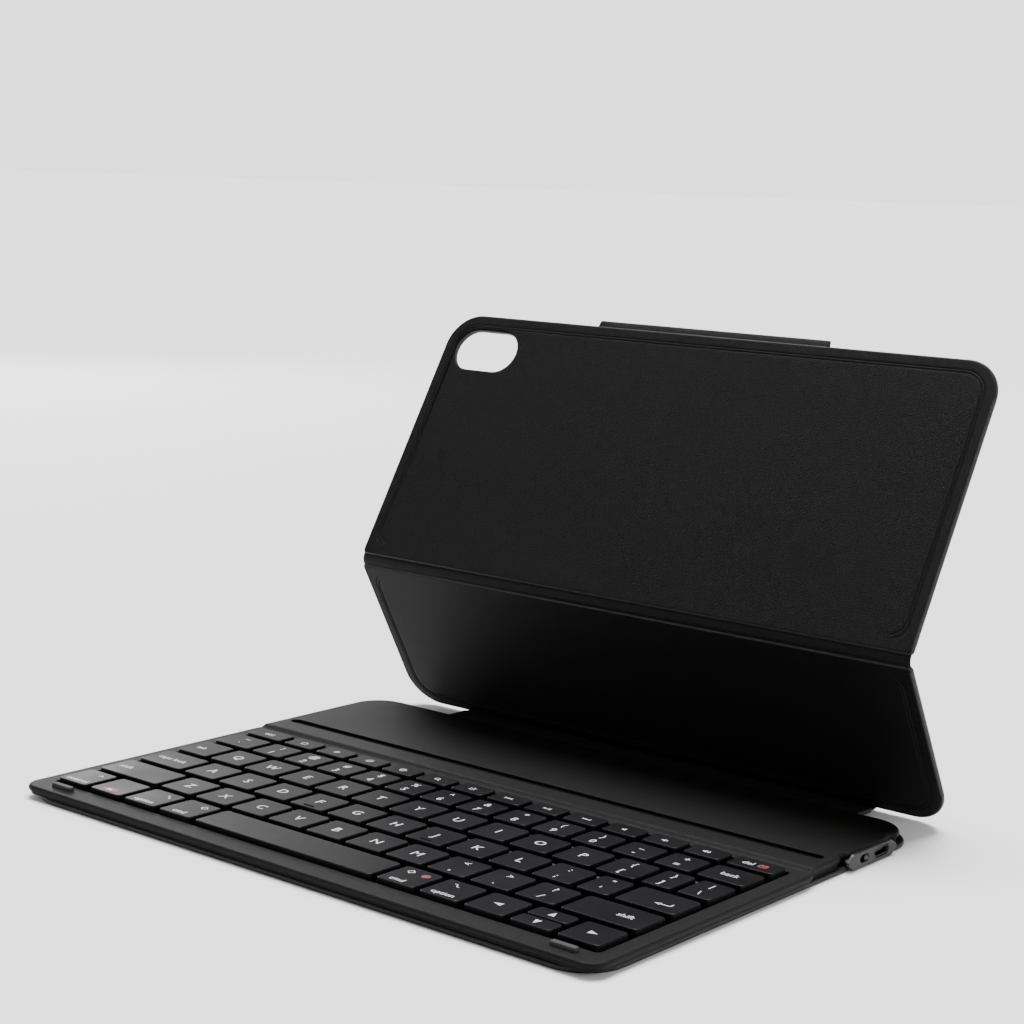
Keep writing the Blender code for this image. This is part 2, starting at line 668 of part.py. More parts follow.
def build_keys(material):
    """All keys: letters and the space bar travel alone, the others in banks."""
    letter_rows = {
        3: ("qwertyuiop", (KEY_WIDTH, BRACKET_WIDTH, 0)),
        2: ("asdfghjkl", (KEY_WIDTH, QUOTE_WIDTH, 0)),
        1: ("zxcvbnm", (KEY_WIDTH, KEY_WIDTH, KEY_WIDTH, 0)),
    }
    left_keys = []
    right_rows = []
    for row, (letters, last_widths) in letter_rows.items():
        first_width = FIRST_KEY_WIDTHS[letters[0]]
        cells = place_row(row, [first_width] + [KEY_WIDTH] * len(letters) + list(last_widths))
        left_keys.append(cells[0])
        for letter, cell in zip(letters, cells[1:]):
            build_single_key(f"key_{letter}", cell, material)
        right_rows.insert(0, cells[1 + len(letters):])
    upright_x0, upright_x1 = LEFT_UPRIGHT
    upright_front = left_keys[-1][1] + WEB_INSET
    upright_rear = left_keys[0][3] - WEB_INSET
    upright = rectangle(upright_x0, upright_front, upright_x1, upright_rear)
    build_key_bank("left_modifier_keys", left_keys, upright, material)
    right_cells = [cell for cells in right_rows for cell in cells]
    comb = comb_outline(right_rows, *RIGHT_UPRIGHT, WEB_HALF_WIDTH)
    build_key_bank("right_side_keys", right_cells, comb, material)

    small = [SMALL_KEY_WIDTH] * 12
    full_rows = (("number_keys", 4, WEB_HALF_WIDTH), ("function_keys", 5, THIN_WEB_HALF_WIDTH))
    for name, row, half_width in full_rows:
        cells = place_row(row, [EDGE_KEY_WIDTH] + small + [0])
        build_key_bank(name, cells, strip(cells, half_width), material)

    cells = place_row(0, [CONTROL_WIDTH] + [KEY_WIDTH] * 3 + [SPACE_WIDTH] + [KEY_WIDTH] * 4 + [0])
    build_single_key("key_space", cells[4], material)
    left_end = cells[:4]
    build_key_bank("bottom_left_keys", left_end, strip(left_end, WEB_HALF_WIDTH), material)
    right_end = cells[5:]
    x0, y0, x1, y1 = right_end[3]
    half = (y0 + y1) / 2
    down = (x0, y0, x1, half - ARROW_SPLIT / 2)
    up = (x0, half + ARROW_SPLIT / 2, x1, y1)
    right_caps = right_end[:3] + [down, up, right_end[4]]
    build_key_bank("bottom_right_keys", right_caps, strip(right_end, WEB_HALF_WIDTH), material)


# ---------------------------------------------------------------- cover

def layer_levels():
    """Levels of lining, board and outer skin across a panel, from its inner to its outer face."""
    inner = -PANEL_HALF_THICKNESS
    outer = PANEL_HALF_THICKNESS
    return {
        "lining": (inner, inner + SKIN_THICKNESS),
        "board": (inner + SKIN_THICKNESS + LAYER_GAP, outer - SKIN_THICKNESS - LAYER_GAP),
        "skin": (outer - SKIN_THICKNESS, outer),
    }


def panel_layer(name, start, end, corners, inset, levels, offset, material, parent):
    """One layer of a panel. Outer faces point to local -Z, so levels are counted downwards."""
    half_x = PANEL_WIDTH / 2 - inset
    outline = rounded_rectangle(-half_x, start + inset, half_x, end - inset, corners, 6)
    low = -(levels[1] + offset)
    high = -(levels[0] + offset)
    return stack_object(name, [(outline, low), (outline, high)], material, parent)


def build_spine(leather, lining, board):
    """Strip between the base and the cover: outer skin, stiffener and lining."""
    axis = pivot("spine_axis", *SPINE_AXIS, 0.0)
    half_x = SPINE_WIDTH / 2
    layers = (
        ("spine_skin", half_x, SPINE_SKIN_LEVELS, leather),
        ("spine_stiffener", half_x - SPINE_STIFFENER_INSET, SPINE_STIFFENER_LEVELS, board),
        ("spine_lining", half_x, SPINE_LINING_LEVELS, lining),
    )
    for name, half, (low, high), material in layers:
        outline = rectangle(-half, SPINE_START, half, SPINE_START + SPINE_LENGTH)
        levels = [(outline, low - SPINE_AXIS[1]), (outline, high - SPINE_AXIS[1])]
        stack_object(name, levels, material, axis)


def build_lower_panel(leather, lining, board):
    """Short panel that stands on its lower edge and carries the tablet's weight."""
    axis = pivot("cover_axis", *COVER_AXIS, LOWER_ANGLE)
    corners = [PANEL_CORNER, PANEL_CORNER, FOLD_CORNER, FOLD_CORNER]
    levels = layer_levels()
    for name, material, inset in panel_layers(leather, lining, board):
        panel_layer(f"lower_{name}", LOWER_START, LOWER_END, corners, inset, levels[name],
                    COVER_AXIS_OFFSET, material, axis)


def panel_layers(leather, lining, board):
    """Name, material and inset of a panel's layers, from its inner to its outer face."""
    return ("lining", lining, 0.0), ("board", board, BOARD_INSET), ("skin", leather, 0.0)


def window_cutter(name, parent):
    """Cutter for the camera window, through all layers of the upper panel."""
    outline = centred_slot(WINDOW_X, WINDOW_S, WINDOW_LENGTH, WINDOW_HEIGHT, 8)
    return stack_object(name, [(outline, -WINDOW_CUT), (outline, WINDOW_CUT)], None, parent)


def build_upper_panel(leather, lining, board, steel):
    """Tall panel that the tablet leans on, with the camera window and the magnet sheet."""
    axis = pivot("middle_axis", *MIDDLE_AXIS, UPPER_ANGLE)
    corners = [FOLD_CORNER, FOLD_CORNER, PANEL_CORNER, PANEL_CORNER]
    levels = layer_levels()
    layers = {}
    for name, material, inset in panel_layers(leather, lining, board):
        layer = panel_layer(f"upper_{name}", UPPER_START, UPPER_END, corners, inset, levels[name], 0.0,
                            material, axis)
        combine(layer, window_cutter(f"{name}_window_cutter", axis), 'DIFFERENCE')
        layers[name] = layer
    board_top = -levels["board"][0]
    half_x = MAGNET_HALF_WIDTH
    bottom = board_top - MAGNET_THICKNESS
    pocket_low = (-half_x - MAGNET_FIT, MAGNET_START - MAGNET_FIT, bottom - LAYER_GAP)
    pocket_high = (half_x + MAGNET_FIT, MAGNET_END + MAGNET_FIT, board_top + CUT_PAST)
    pocket = box_object("magnet_pocket_cutter", pocket_low, pocket_high, None, axis)
    combine(layers["board"], pocket, 'DIFFERENCE')
    magnet_low = (-half_x, MAGNET_START, bottom)
    magnet_high = (half_x, MAGNET_END, board_top)
    box_object("tablet_magnet", magnet_low, magnet_high, steel, axis)


def upper_point(along, outward):
    """World Y and Z of a point on the upper panel, from its place along and out of its middle plane."""
    y = MIDDLE_AXIS[0] + along * math.cos(UPPER_ANGLE) + outward * math.sin(UPPER_ANGLE)
    z = MIDDLE_AXIS[1] + along * math.sin(UPPER_ANGLE) - outward * math.cos(UPPER_ANGLE)
    return y, z


def build_flap(leather, steel):
    """Closure flap, folded back against the upper panel: an edge strip, then a tab with a magnet."""
    half_x = FLAP_WIDTH / 2
    root = pivot("flap_root_axis", *upper_point(FLAP_ROOT_S, FLAP_ROOT_N), UPPER_ANGLE)
    near = -(FLAP_NEAR_FACE - FLAP_ROOT_N)
    box_object("flap_strip", (-half_x, -FLAP_START - FLAP_STRIP_LENGTH, near - FLAP_STRIP_THICKNESS),
               (half_x, -FLAP_START, near), leather, root)
    tip_s = FLAP_ROOT_S - FLAP_START - FLAP_STRIP_LENGTH - FLAP_FOLD_GAP
    tip_n = FLAP_NEAR_FACE + FLAP_STRIP_THICKNESS / 2
    tip = pivot("flap_tip_axis", *upper_point(tip_s, tip_n), UPPER_ANGLE)
    tab_near = FLAP_STRIP_THICKNESS / 2
    corners = [FLAP_CORNER, FLAP_CORNER, FLAP_FOLD_CORNER, FLAP_FOLD_CORNER]
    outline = rounded_rectangle(-half_x, -FLAP_FOLD_GAP - FLAP_TAB_LENGTH, half_x, -FLAP_FOLD_GAP,
                                corners, 4)
    levels = [(outline, tab_near - FLAP_TAB_THICKNESS), (outline, tab_near)]
    tab = stack_object("flap_tab", levels, leather, tip)
    magnet_half = FLAP_MAGNET_HALF_WIDTH
    magnet_low = tab_near - FLAP_MAGNET_THICKNESS
    pocket_low = (-magnet_half - MAGNET_FIT, FLAP_MAGNET_START - MAGNET_FIT, magnet_low - MAGNET_FIT)
    pocket_high = (magnet_half + MAGNET_FIT, FLAP_MAGNET_END + MAGNET_FIT, tab_near + CUT_PAST)
    pocket = box_object("flap_pocket_cutter", pocket_low, pocket_high, None, tip)
    combine(tab, pocket, 'DIFFERENCE')
    box_object("flap_magnet", (-magnet_half, FLAP_MAGNET_START, magnet_low),
               (magnet_half, FLAP_MAGNET_END, tab_near), steel, tip)


def main():
    """Build every piece of the case."""
    clear_scene()
    leather = make_material("outer_leather", BLACK_LEATHER, 0.6)
    lining = make_material("inner_lining", BLACK_LEATHER, 0.5)
    plastic = make_material("black_plastic", BLACK_PLASTIC, 0.45)
    cap_plastic = make_material("cap_plastic", DARK_PLASTIC, 0.5)
    key_plastic = make_material("key_plastic", KEY_BLACK, 0.4)
    rubber = make_material("black_rubber", BLACK_RUBBER, 0.8)
    board = make_material("grey_board", GREY_BOARD, 0.8)
    steel = make_material("plated_steel", STEEL, 0.35, 1.0)
    build_bottom(leather, board)
    build_top_case(plastic)
    build_base_inside(plastic, steel, board)
    build_bumpers(rubber)
    build_end_cap(cap_plastic)
    build_port(steel)
    build_switch(plastic)
    build_keys(key_plastic)
    build_spine(leather, lining, board)
    build_lower_panel(leather, lining, board)
    build_upper_panel(leather, lining, board, steel)
    build_flap(leather, steel)


main()
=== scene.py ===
import json
import math

import bmesh
import bpy
from mathutils import Matrix, Vector


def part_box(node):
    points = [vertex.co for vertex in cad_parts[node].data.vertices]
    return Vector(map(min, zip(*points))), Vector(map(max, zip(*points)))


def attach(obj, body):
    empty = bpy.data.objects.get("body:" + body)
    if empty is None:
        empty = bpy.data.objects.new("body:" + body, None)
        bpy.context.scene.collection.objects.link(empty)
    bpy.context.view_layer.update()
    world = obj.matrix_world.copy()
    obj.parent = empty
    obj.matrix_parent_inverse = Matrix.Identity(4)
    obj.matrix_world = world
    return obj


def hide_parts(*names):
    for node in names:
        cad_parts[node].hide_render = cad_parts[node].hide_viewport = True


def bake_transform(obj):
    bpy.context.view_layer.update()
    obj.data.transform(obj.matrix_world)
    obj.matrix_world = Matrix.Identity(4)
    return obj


# Looks of the tablet keyboard case. Lengths are in metres, X runs along the case's width, +Y away from the
# typist and +Z up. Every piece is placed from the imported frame's boxes and joints.
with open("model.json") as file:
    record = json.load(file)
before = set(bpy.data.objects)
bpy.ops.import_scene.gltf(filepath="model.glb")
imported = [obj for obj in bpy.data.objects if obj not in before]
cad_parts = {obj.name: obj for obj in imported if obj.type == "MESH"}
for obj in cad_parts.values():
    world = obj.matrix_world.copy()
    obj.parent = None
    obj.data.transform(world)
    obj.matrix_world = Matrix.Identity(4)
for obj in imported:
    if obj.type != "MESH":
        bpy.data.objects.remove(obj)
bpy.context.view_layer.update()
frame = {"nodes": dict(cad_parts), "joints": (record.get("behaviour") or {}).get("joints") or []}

MM = 0.001

# Cover panels: their angle above +Y at rest, their outline and the relief pressed into the leather.
LOWER_ANGLE = math.radians(120.2)
UPPER_ANGLE = math.radians(60.2)
PANEL_HALF_WIDTH = 126.0 * MM
PANEL_HALF_THICKNESS = 1.25 * MM
PANEL_CORNER = 14.5 * MM
FOLD_CORNER = 2.0 * MM
EDGE_ROUND = 1.0 * MM
LOWER_START = -1.0 * MM
LOWER_END = 71.0 * MM
LOWER_OFFSET = 0.75 * MM
UPPER_START = 2.0 * MM
UPPER_END = 112.7 * MM
LINE_INSETS = (4.5 * MM, 5.6 * MM)
LINE_CURL = 6.0 * MM
OUTER_LINE_INSET = 2.5 * MM
LINE_HALF_WIDTH = 0.32 * MM
LINE_DEPTH = 0.24 * MM
WINDOW_X = -103.5 * MM
WINDOW_S = 96.7 * MM
WINDOW_LENGTH = 32.0 * MM
WINDOW_HEIGHT = 18.0 * MM
WEB_HALF_THICKNESS = 0.62 * MM
TUCK = 0.5 * MM

# Base: slab, deck with the key well, raised housing with the tablet groove.
SLAB_TOP = 1.62 * MM
CASE_BOTTOM = 1.7 * MM
DECK_TOP = 4.7 * MM
PLATEAU_TOP = 5.95 * MM
DECK_HALF_WIDTH = 126.5 * MM
PLATEAU_HALF_WIDTH = 125.0 * MM
DECK_CORNER = 6.5 * MM
PLATEAU_CORNER = 13.0 * MM
STEP_START = 21.8 * MM
STEP_RUN = 2.4 * MM
NARROW_START = 20.0 * MM
NARROW_RUN = 5.5 * MM
BEAD_RADIUS = 1.05 * MM
BEAD_HEIGHT = 1.2 * MM
WELL_MARGIN = 0.9 * MM
WELL_CORNER = 1.6 * MM
RIM_ROUND = 0.35 * MM
GROOVE_Y = 35.4 * MM
GROOVE_WIDTH = 4.4 * MM
GROOVE_HALF_LENGTH = 121.5 * MM
GROOVE_DEPTH = 1.2 * MM
GROOVE_LIP = 0.3 * MM
NOTCH_SPANS = ((40.2 * MM, 46.4 * MM), (70.8 * MM, 77.0 * MM))
NOTCH_DEPTH = 1.3 * MM
NOTCH_RAMP = 1.6 * MM

# Keys.
FIELD_HALF = 119.3 * MM
COLUMN_GAP = 2.43 * MM
KEY_WIDTH = 15.33 * MM
SMALL_KEY_WIDTH = 14.29 * MM
KEY_CORNER = 1.5 * MM
KEY_ROUND = 0.45 * MM
ARROW_SPLIT = 0.7 * MM
LEGEND_THICKNESS = 0.05 * MM
LETTER_HEIGHT = 3.9 * MM
DIGIT_HEIGHT = 3.3 * MM
WORD_HEIGHT = 2.65 * MM
SYMBOL_SHIFT = 3.1 * MM
SIDE_SYMBOL_SHIFT = 3.7 * MM
CAPITAL_SHARE = 0.73
EDGE_KEY_WIDTH = 17.57 * MM
BRACKET_WIDTH = 11.1 * MM
QUOTE_WIDTH = 12.2 * MM
CONTROL_WIDTH = 14.4 * MM
WEB_INSET = 3.0 * MM
WEB_HALF_WIDTH = 2.0 * MM
THIN_WEB_HALF_WIDTH = 1.5 * MM
LEFT_UPRIGHT = (-117 * MM, -113 * MM)
RIGHT_UPRIGHT = (112 * MM, 116 * MM)
LETTER_ROWS = ("qwertyuiop", "asdfghjkl", "zxcvbnm")

# Camera: the viewing angle, the distance and the lens.
EYE = Vector((0.4663, -0.5577, 0.2205))
AZIMUTH = math.radians(39.0055)
ELEVATION = math.radians(8.7746)
ROLL = math.radians(2.1592)
LENS = 75.95
SENSOR = 36.0

# Leather grain: width of the crease between two cells, as a share of a cell.
CREASE_WIDTH = 0.16

# Studio: brightness of the backdrop near the horizon, and the dimmer ceiling's share of it.
BACKDROP_STRENGTH = 2.15
CEILING_SHARE = 0.2
BACKDROP_TOP = 0.09
CEILING_START = 0.3
SUN_STRENGTH = 7.5
SUN_SPREAD = math.radians(40)
SUN_TILT = (math.radians(-18), math.radians(-12), 0)
FLOOR_REACH = 60.0
FLOOR_DROP = 0.1 * MM


# ---------------------------------------------------------------- mesh helpers

def link_object(name, data):
    """New object in the scene."""
    piece = bpy.data.objects.new(name, data)
    bpy.context.scene.collection.objects.link(piece)
    return piece


def smoothstep(value):
    """0 below 0, 1 above 1, smooth between."""
    clamped = min(1.0, max(0.0, value))
    return clamped * clamped * (3 - 2 * clamped)


def arc(centre, radius, start_deg, end_deg, steps):
    """Points on an arc, both ends included."""
    points = []
    for index in range(steps + 1):
        angle = math.radians(start_deg + (end_deg - start_deg) * index / steps)
        points.append((centre[0] + radius * math.cos(angle), centre[1] + radius * math.sin(angle)))
    return points


def rounded_rectangle(x0, y0, x1, y1, radii, steps=8):
    """Anticlockwise outline; radii are the front-left, front-right, rear-right and rear-left corners."""
    front_left, front_right, rear_right, rear_left = radii
    return (
        arc((x0 + front_left, y0 + front_left), front_left, 180, 270, steps)
        + arc((x1 - front_right, y0 + front_right), front_right, 270, 360, steps)
        + arc((x1 - rear_right, y1 - rear_right), rear_right, 0, 90, steps)
        + arc((x0 + rear_left, y1 - rear_left), rear_left, 90, 180, steps)
    )


def slot_outline(x, y, length, height, steps=10):
    """Anticlockwise outline of a slot with round ends, its length along the first axis."""
    half = height / 2
    return (
        arc((x + length / 2 - half, y), half, -90, 90, steps)
        + arc((x - length / 2 + half, y), half, 90, 270, steps)
    )


def add_rings(mesh, rings, cap_first=True, cap_last=True, material=0):
    """Join rings of equal length level by level, with flat caps where asked."""
    rows = []
    for ring in rings:
        rows.append([mesh.verts.new(point) for point in ring])
    count = len(rows[0])
    for lower, upper in zip(rows, rows[1:]):
        for index in range(count):
            following = (index + 1) % count
            face = mesh.faces.new((lower[index], lower[following], upper[following], upper[index]))
            face.material_index = material
    if cap_first:
        mesh.faces.new(list(reversed(rows[0]))).material_index = material
    if cap_last:
        mesh.faces.new(rows[-1]).material_index = material
    return rows


def finish_mesh(name, mesh, materials, matrix=None, sharp=40.0, weighted=True):
    """Link a bmesh as a smooth-shaded object in the row frame."""
    bmesh.ops.recalc_face_normals(mesh, faces=mesh.faces)
    data = bpy.data.meshes.new(name)
    mesh.to_mesh(data)
    mesh.free()
    data.shade_smooth()
    data.set_sharp_from_angle(angle=math.radians(sharp))
    for material in materials:
        data.materials.append(material)
    piece = link_object(name, data)
    if matrix is not None:
        piece.matrix_world = matrix
    if weighted:
        normals = piece.modifiers.new("weighted_normals", 'WEIGHTED_NORMAL')
        normals.keep_sharp = True
    return piece


def outline_rings(outlines_and_levels):
    """Rings from (outline, level) pairs, levels along Z."""
    return [[(x, y, level) for x, y in outline] for outline, level in outlines_and_levels]


def rings_along_x(outlines_and_levels):
    """Rings from (outline in YZ, level along X) pairs."""
    return [[(level, y, z) for y, z in outline] for outline, level in outlines_and_levels]


def stacked(name, rings, materials, matrix=None):
    """Piece that its rings bound."""
    mesh = bmesh.new()
    add_rings(mesh, rings)
    return finish_mesh(name, mesh, materials, matrix)


def settle(piece, body, slot, *nodes):
    """Let a piece ride on its body and stand for its CAD nodes."""
    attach(piece, body)
    if nodes:
        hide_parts(*nodes)


def lip_levels(radius, top):
    """(spread, level) of the rings of an opening's rounded rim, above its straight wall."""
    levels = []
    for step in range(1, 5):
        angle = math.radians(90 * step / 4)
        levels.append((radius * (1 - math.cos(angle)), top - radius * (1 - math.sin(angle))))
    levels.append((radius, top + 1 * MM))
    return levels


def cut(piece, rings):
    """Subtract the closed solid that the rings bound, and keep the result as the piece's mesh."""
    mesh = bmesh.new()
    add_rings(mesh, rings)
    bmesh.ops.recalc_face_normals(mesh, faces=mesh.faces)
    data = bpy.data.meshes.new("cutter")
    mesh.to_mesh(data)
    mesh.free()
    cutter = link_object("cutter", data)
    cutter.matrix_world = piece.matrix_world.copy()
    modifier = piece.modifiers.new("cut", 'BOOLEAN')
    modifier.operation = 'DIFFERENCE'
    modifier.solver = 'EXACT'
    modifier.object = cutter
    piece.modifiers.move(len(piece.modifiers) - 1, 0)
    bpy.context.view_layer.update()
    others = [m for m in piece.modifiers if m != modifier]
    for other in others:
        other.show_viewport = False
    evaluated = piece.evaluated_get(bpy.context.evaluated_depsgraph_get())
    result = bpy.data.meshes.new_from_object(evaluated)
    piece.modifiers.remove(modifier)
    for other in others:
        other.show_viewport = True
    piece.data = result
    result.name = piece.name
    result.shade_smooth()
    result.set_sharp_from_angle(angle=math.radians(40))
    bpy.data.objects.remove(cutter)


def panel_matrix(y, z, angle):
    """Frame of a panel: X along the case, Y along the panel, -Z out of its outer face."""
    return Matrix.Translation((0, y, z)) @ Matrix.Rotation(angle, 4, 'X')


def joint_point(name):
    """Y and Z of a fold's axis."""
    for joint in frame["joints"]:
        if joint["name"] == name:
            return joint["pos_m"][1], joint["pos_m"][2]
    raise ValueError(name)


# ---------------------------------------------------------------- materials

def new_material(name, colour, roughness, metallic=0.0, specular=0.5):
    """Principled material, with its node tree, shader and object coordinates."""
    material = bpy.data.materials.new(name)
    material.use_nodes = True
    tree = material.node_tree
    shader = tree.nodes["Principled BSDF"]
    shader.inputs["Base Color"].default_value = (*colour, 1.0)
    shader.inputs["Roughness"].default_value = roughness
    shader.inputs["Metallic"].default_value = metallic
    shader.inputs["Specular IOR Level"].default_value = specular
    coordinates = tree.nodes.new("ShaderNodeTexCoord")
    return material, tree, shader, coordinates.outputs["Object"]


def add_node(tree, kind, values, links, operation=None):
    """Node with set values and linked sockets; the operation comes first, as it decides the sockets."""
    node = tree.nodes.new(f"ShaderNode{kind}")
    if operation is not None:
        node.operation = operation
    for socket, value in values.items():
        node.inputs[socket].default_value = value
    for socket, source in links.items():
        tree.links.new(source, node.inputs[socket])
    return node


def noise(tree, vector, scale, detail=3.0, roughness=0.5):
    """Noise texture's factor."""
    values = {"Scale": scale, "Detail": detail, "Roughness": roughness}
    return add_node(tree, "TexNoise", values, {"Vector": vector}).outputs["Fac"]


def stretched(tree, vector, scale):
    """Coordinates stretched by a factor along each axis."""
    return add_node(tree, "Mapping", {"Scale": scale}, {"Vector": vector}).outputs["Vector"]


def vector_math(tree, operation, values, links):
    """Result of one sum on vectors."""
    return add_node(tree, "VectorMath", values, links, operation).outputs[0]


def warped(tree, vector, scale, amount):
    """Coordinates pushed about by a coarse noise, so that cells don't look like a lattice."""
    push = add_node(tree, "TexNoise", {"Scale": scale, "Detail": 2.0}, {"Vector": vector}).outputs["Color"]
    centred = vector_math(tree, 'SUBTRACT', {1: (0.5, 0.5, 0.5)}, {0: push})
    scaled = vector_math(tree, 'SCALE', {"Scale": amount}, {0: centred})
    return vector_math(tree, 'ADD', {}, {0: vector, 1: scaled})


def remap(tree, value, low, high, to_low, to_high):
    """Clamped linear map from one range to another."""
    values = {"From Min": low, "From Max": high, "To Min": to_low, "To Max": to_high}
    return add_node(tree, "MapRange", values, {"Value": value}).outputs["Result"]


def combine(tree, first, second, share):
    """Weighted sum: first plus share times second."""
    return add_node(tree, "Math", {1: share}, {0: second, 2: first}, 'MULTIPLY_ADD').outputs[0]


def add_bump(tree, shader, height, distance):
    """Bump from a height between 0 and 1."""
    node = add_node(tree, "Bump", {"Strength": 1.0, "Distance": distance}, {"Height": height})
    tree.links.new(node.outputs["Normal"], shader.inputs["Normal"])


def grey(value):
    """Neutral colour."""
    return value, value, value


def tint(tree, shader, factor, dark, light):
    """Base colour between two tones."""
    node = tree.nodes.new("ShaderNodeMix")
    node.data_type = 'RGBA'
    node.inputs["A"].default_value = (*dark, 1.0)
    node.inputs["B"].default_value = (*light, 1.0)
    tree.links.new(factor, node.inputs["Factor"])
    tree.links.new(node.outputs["Result"], shader.inputs["Base Color"])


def leather_material(name, dark, light, roughness, cell, stretch, depth, specular):
    """Pressed-grain leather: cells parted by soft creases, pores on them and a slow change of tone."""
    material, tree, shader, place = new_material(name, dark, roughness, specular=specular)
    grain_place = stretched(tree, warped(tree, place, 0.35 / cell, cell * 0.7), (1, stretch, 1))
    cells = tree.nodes.new("ShaderNodeTexVoronoi")
    cells.feature = 'DISTANCE_TO_EDGE'
    cells.inputs["Scale"].default_value = 1.0 / cell
    tree.links.new(grain_place, cells.inputs["Vector"])
    pebbles = remap(tree, cells.outputs["Distance"], 0.0, CREASE_WIDTH, 0.0, 1.0)
    pores = noise(tree, place, 3.2 / cell, 4.0, 0.6)
    height = combine(tree, pebbles, pores, 0.55)
    add_bump(tree, shader, height, depth)
    clouds = noise(tree, place, 28.0, 3.0)
    tone = combine(tree, remap(tree, pebbles, 0.0, 1.0, 0.0, 0.55), clouds, 0.45)
    tint(tree, shader, tone, dark, light)
    gloss = remap(tree, height, 0.0, 1.4, roughness + 0.1, roughness - 0.05)
    tree.links.new(gloss, shader.inputs["Roughness"])
    return material


def moulded_material(name, dark, light, roughness, grain, depth, specular=0.5):
    """Moulded plastic or rubber: a fine spark-eroded grain and faint clouds of gloss."""
    material, tree, shader, place = new_material(name, dark, roughness, specular=specular)
    fine = noise(tree, place, 1.0 / grain, 3.0, 0.6)
    add_bump(tree, shader, fine, depth)
    clouds = noise(tree, place, 40.0, 4.0)
    tint(tree, shader, combine(tree, remap(tree, fine, 0.3, 0.7, 0.0, 0.5), clouds, 0.5), dark, light)
    gloss = remap(tree, clouds, 0.3, 0.7, roughness - 0.04, roughness + 0.06)
    tree.links.new(gloss, shader.inputs["Roughness"])
    return material


def metal_material(name, colour, roughness, brush):
    """Plated sheet with a fine brushed grain along X."""
    material, tree, shader, place = new_material(name, colour, roughness, metallic=1.0)
    lines = noise(tree, stretched(tree, place, (0.06, 1.0, 1.0)), 1.0 / brush, 3.0)
    add_bump(tree, shader, lines, 0.01 * MM)
    gloss = remap(tree, lines, 0.3, 0.7, roughness - 0.08, roughness + 0.1)
    tree.links.new(gloss, shader.inputs["Roughness"])
    return material


def painted_mark(name, colour):
    """Printed legend ink, slightly uneven."""
    material, tree, shader, place = new_material(name, colour, 0.5)
    speckle = noise(tree, place, 2500.0, 2.0)
    dark = tuple(0.86 * channel for channel in colour)
    tint(tree, shader, speckle, dark, colour)
    return material


OUTER_LEATHER = leather_material(
    "outer_leather", grey(0.0065), grey(0.012), 0.46, 1.25 * MM, 1.5, 0.13 * MM, 0.25)
LINING = leather_material(
    "inner_lining", grey(0.0014), grey(0.003), 0.50, 0.8 * MM, 1.6, 0.06 * MM, 0.09)
DECK_LEATHER = leather_material(
    "deck_leather", (0.0026, 0.0028, 0.0025), (0.0046, 0.0049, 0.0043), 0.50, 0.6 * MM, 1.3,
    0.045 * MM, 0.08)
SLAB_LEATHER = leather_material(
    "slab_leather", (0.005, 0.005, 0.0048), (0.009, 0.009, 0.0088), 0.45, 0.9 * MM, 1.3, 0.06 * MM, 0.2)
KEY_PLASTIC = moulded_material(
    "key_plastic", (0.0014, 0.0014, 0.0022), (0.0026, 0.0026, 0.0038), 0.4, 0.16 * MM, 0.012 * MM, 0.09)
BED_PLASTIC = moulded_material("bed_plastic", grey(0.001), grey(0.0016), 0.6, 0.3 * MM, 0.01 * MM)
# Painted shade: near-black material for the inside of the tablet groove, darker than the deck, standing in
# for the shade that falls in it.
GROOVE_PAINTED_SHADE = moulded_material(
    "groove_painted_shade", grey(0.0008), grey(0.0014), 0.7, 0.3 * MM, 0.01 * MM, 0.05)
CAP_PLASTIC = moulded_material(
    "cap_plastic", (0.0065, 0.007, 0.007), (0.009, 0.0095, 0.0095), 0.42, 0.2 * MM, 0.015 * MM, 0.3)
SWITCH_PLASTIC = moulded_material("switch_plastic", grey(0.006), grey(0.009), 0.4, 0.15 * MM, 0.01 * MM)
BUMPER_RUBBER = moulded_material("bumper_rubber", grey(0.003), grey(0.0055), 0.7, 0.25 * MM, 0.02 * MM)
BOARD_FILL = moulded_material(
    "stiff_board", (0.09, 0.085, 0.08), (0.15, 0.14, 0.13), 0.8, 0.5 * MM, 0.03 * MM)
PORT_STEEL = metal_material("port_steel", (0.05, 0.05, 0.052), 0.4, 0.2 * MM)
INNER_STEEL = metal_material("inner_steel", (0.4, 0.4, 0.41), 0.4, 0.3 * MM)
WHITE_INK = painted_mark("white_ink", grey(0.55))
RED_INK = painted_mark("red_ink", (0.14, 0.004, 0.012))


def dress_cad_node(name, material):
    """Give a CAD node that stays in view its own material."""
    node = frame["nodes"][name]
    node.data.materials.clear()
    node.data.materials.append(material)
    node.data.shade_smooth()
    node.data.set_sharp_from_angle(angle=math.radians(35))


# ---------------------------------------------------------------- cover panels

def panel_ring(start, end, inset, fold_corner, fold_at_start):
    """Outline of a panel at one inset, and each point's share of the pressed line's depth.

    The line fades out where it curls in from the sides towards the middle fold."""
    steps = 12
    half = PANEL_HALF_WIDTH - inset
    low = start + inset
    high = end - inset
    free = max(PANEL_CORNER - inset, 0.3 * MM)
    fold = max(fold_corner, 0.3 * MM)
    radii = [fold, fold, free, free] if fold_at_start else [free, free, fold, fold]
    points = rounded_rectangle(-half, low, half, high, radii, steps)
    shares = []
    for index in range(len(points)):
        corner_index, step = divmod(index, steps + 1)
        travel = step / steps
        at_fold = corner_index in ((0, 1) if fold_at_start else (2, 3))
        towards_fold = travel if corner_index in (0, 2) else 1 - travel
        shares.append(1 - smoothstep((towards_fold - 0.55) / 0.45) if at_fold else 1.0)
    return points, shares


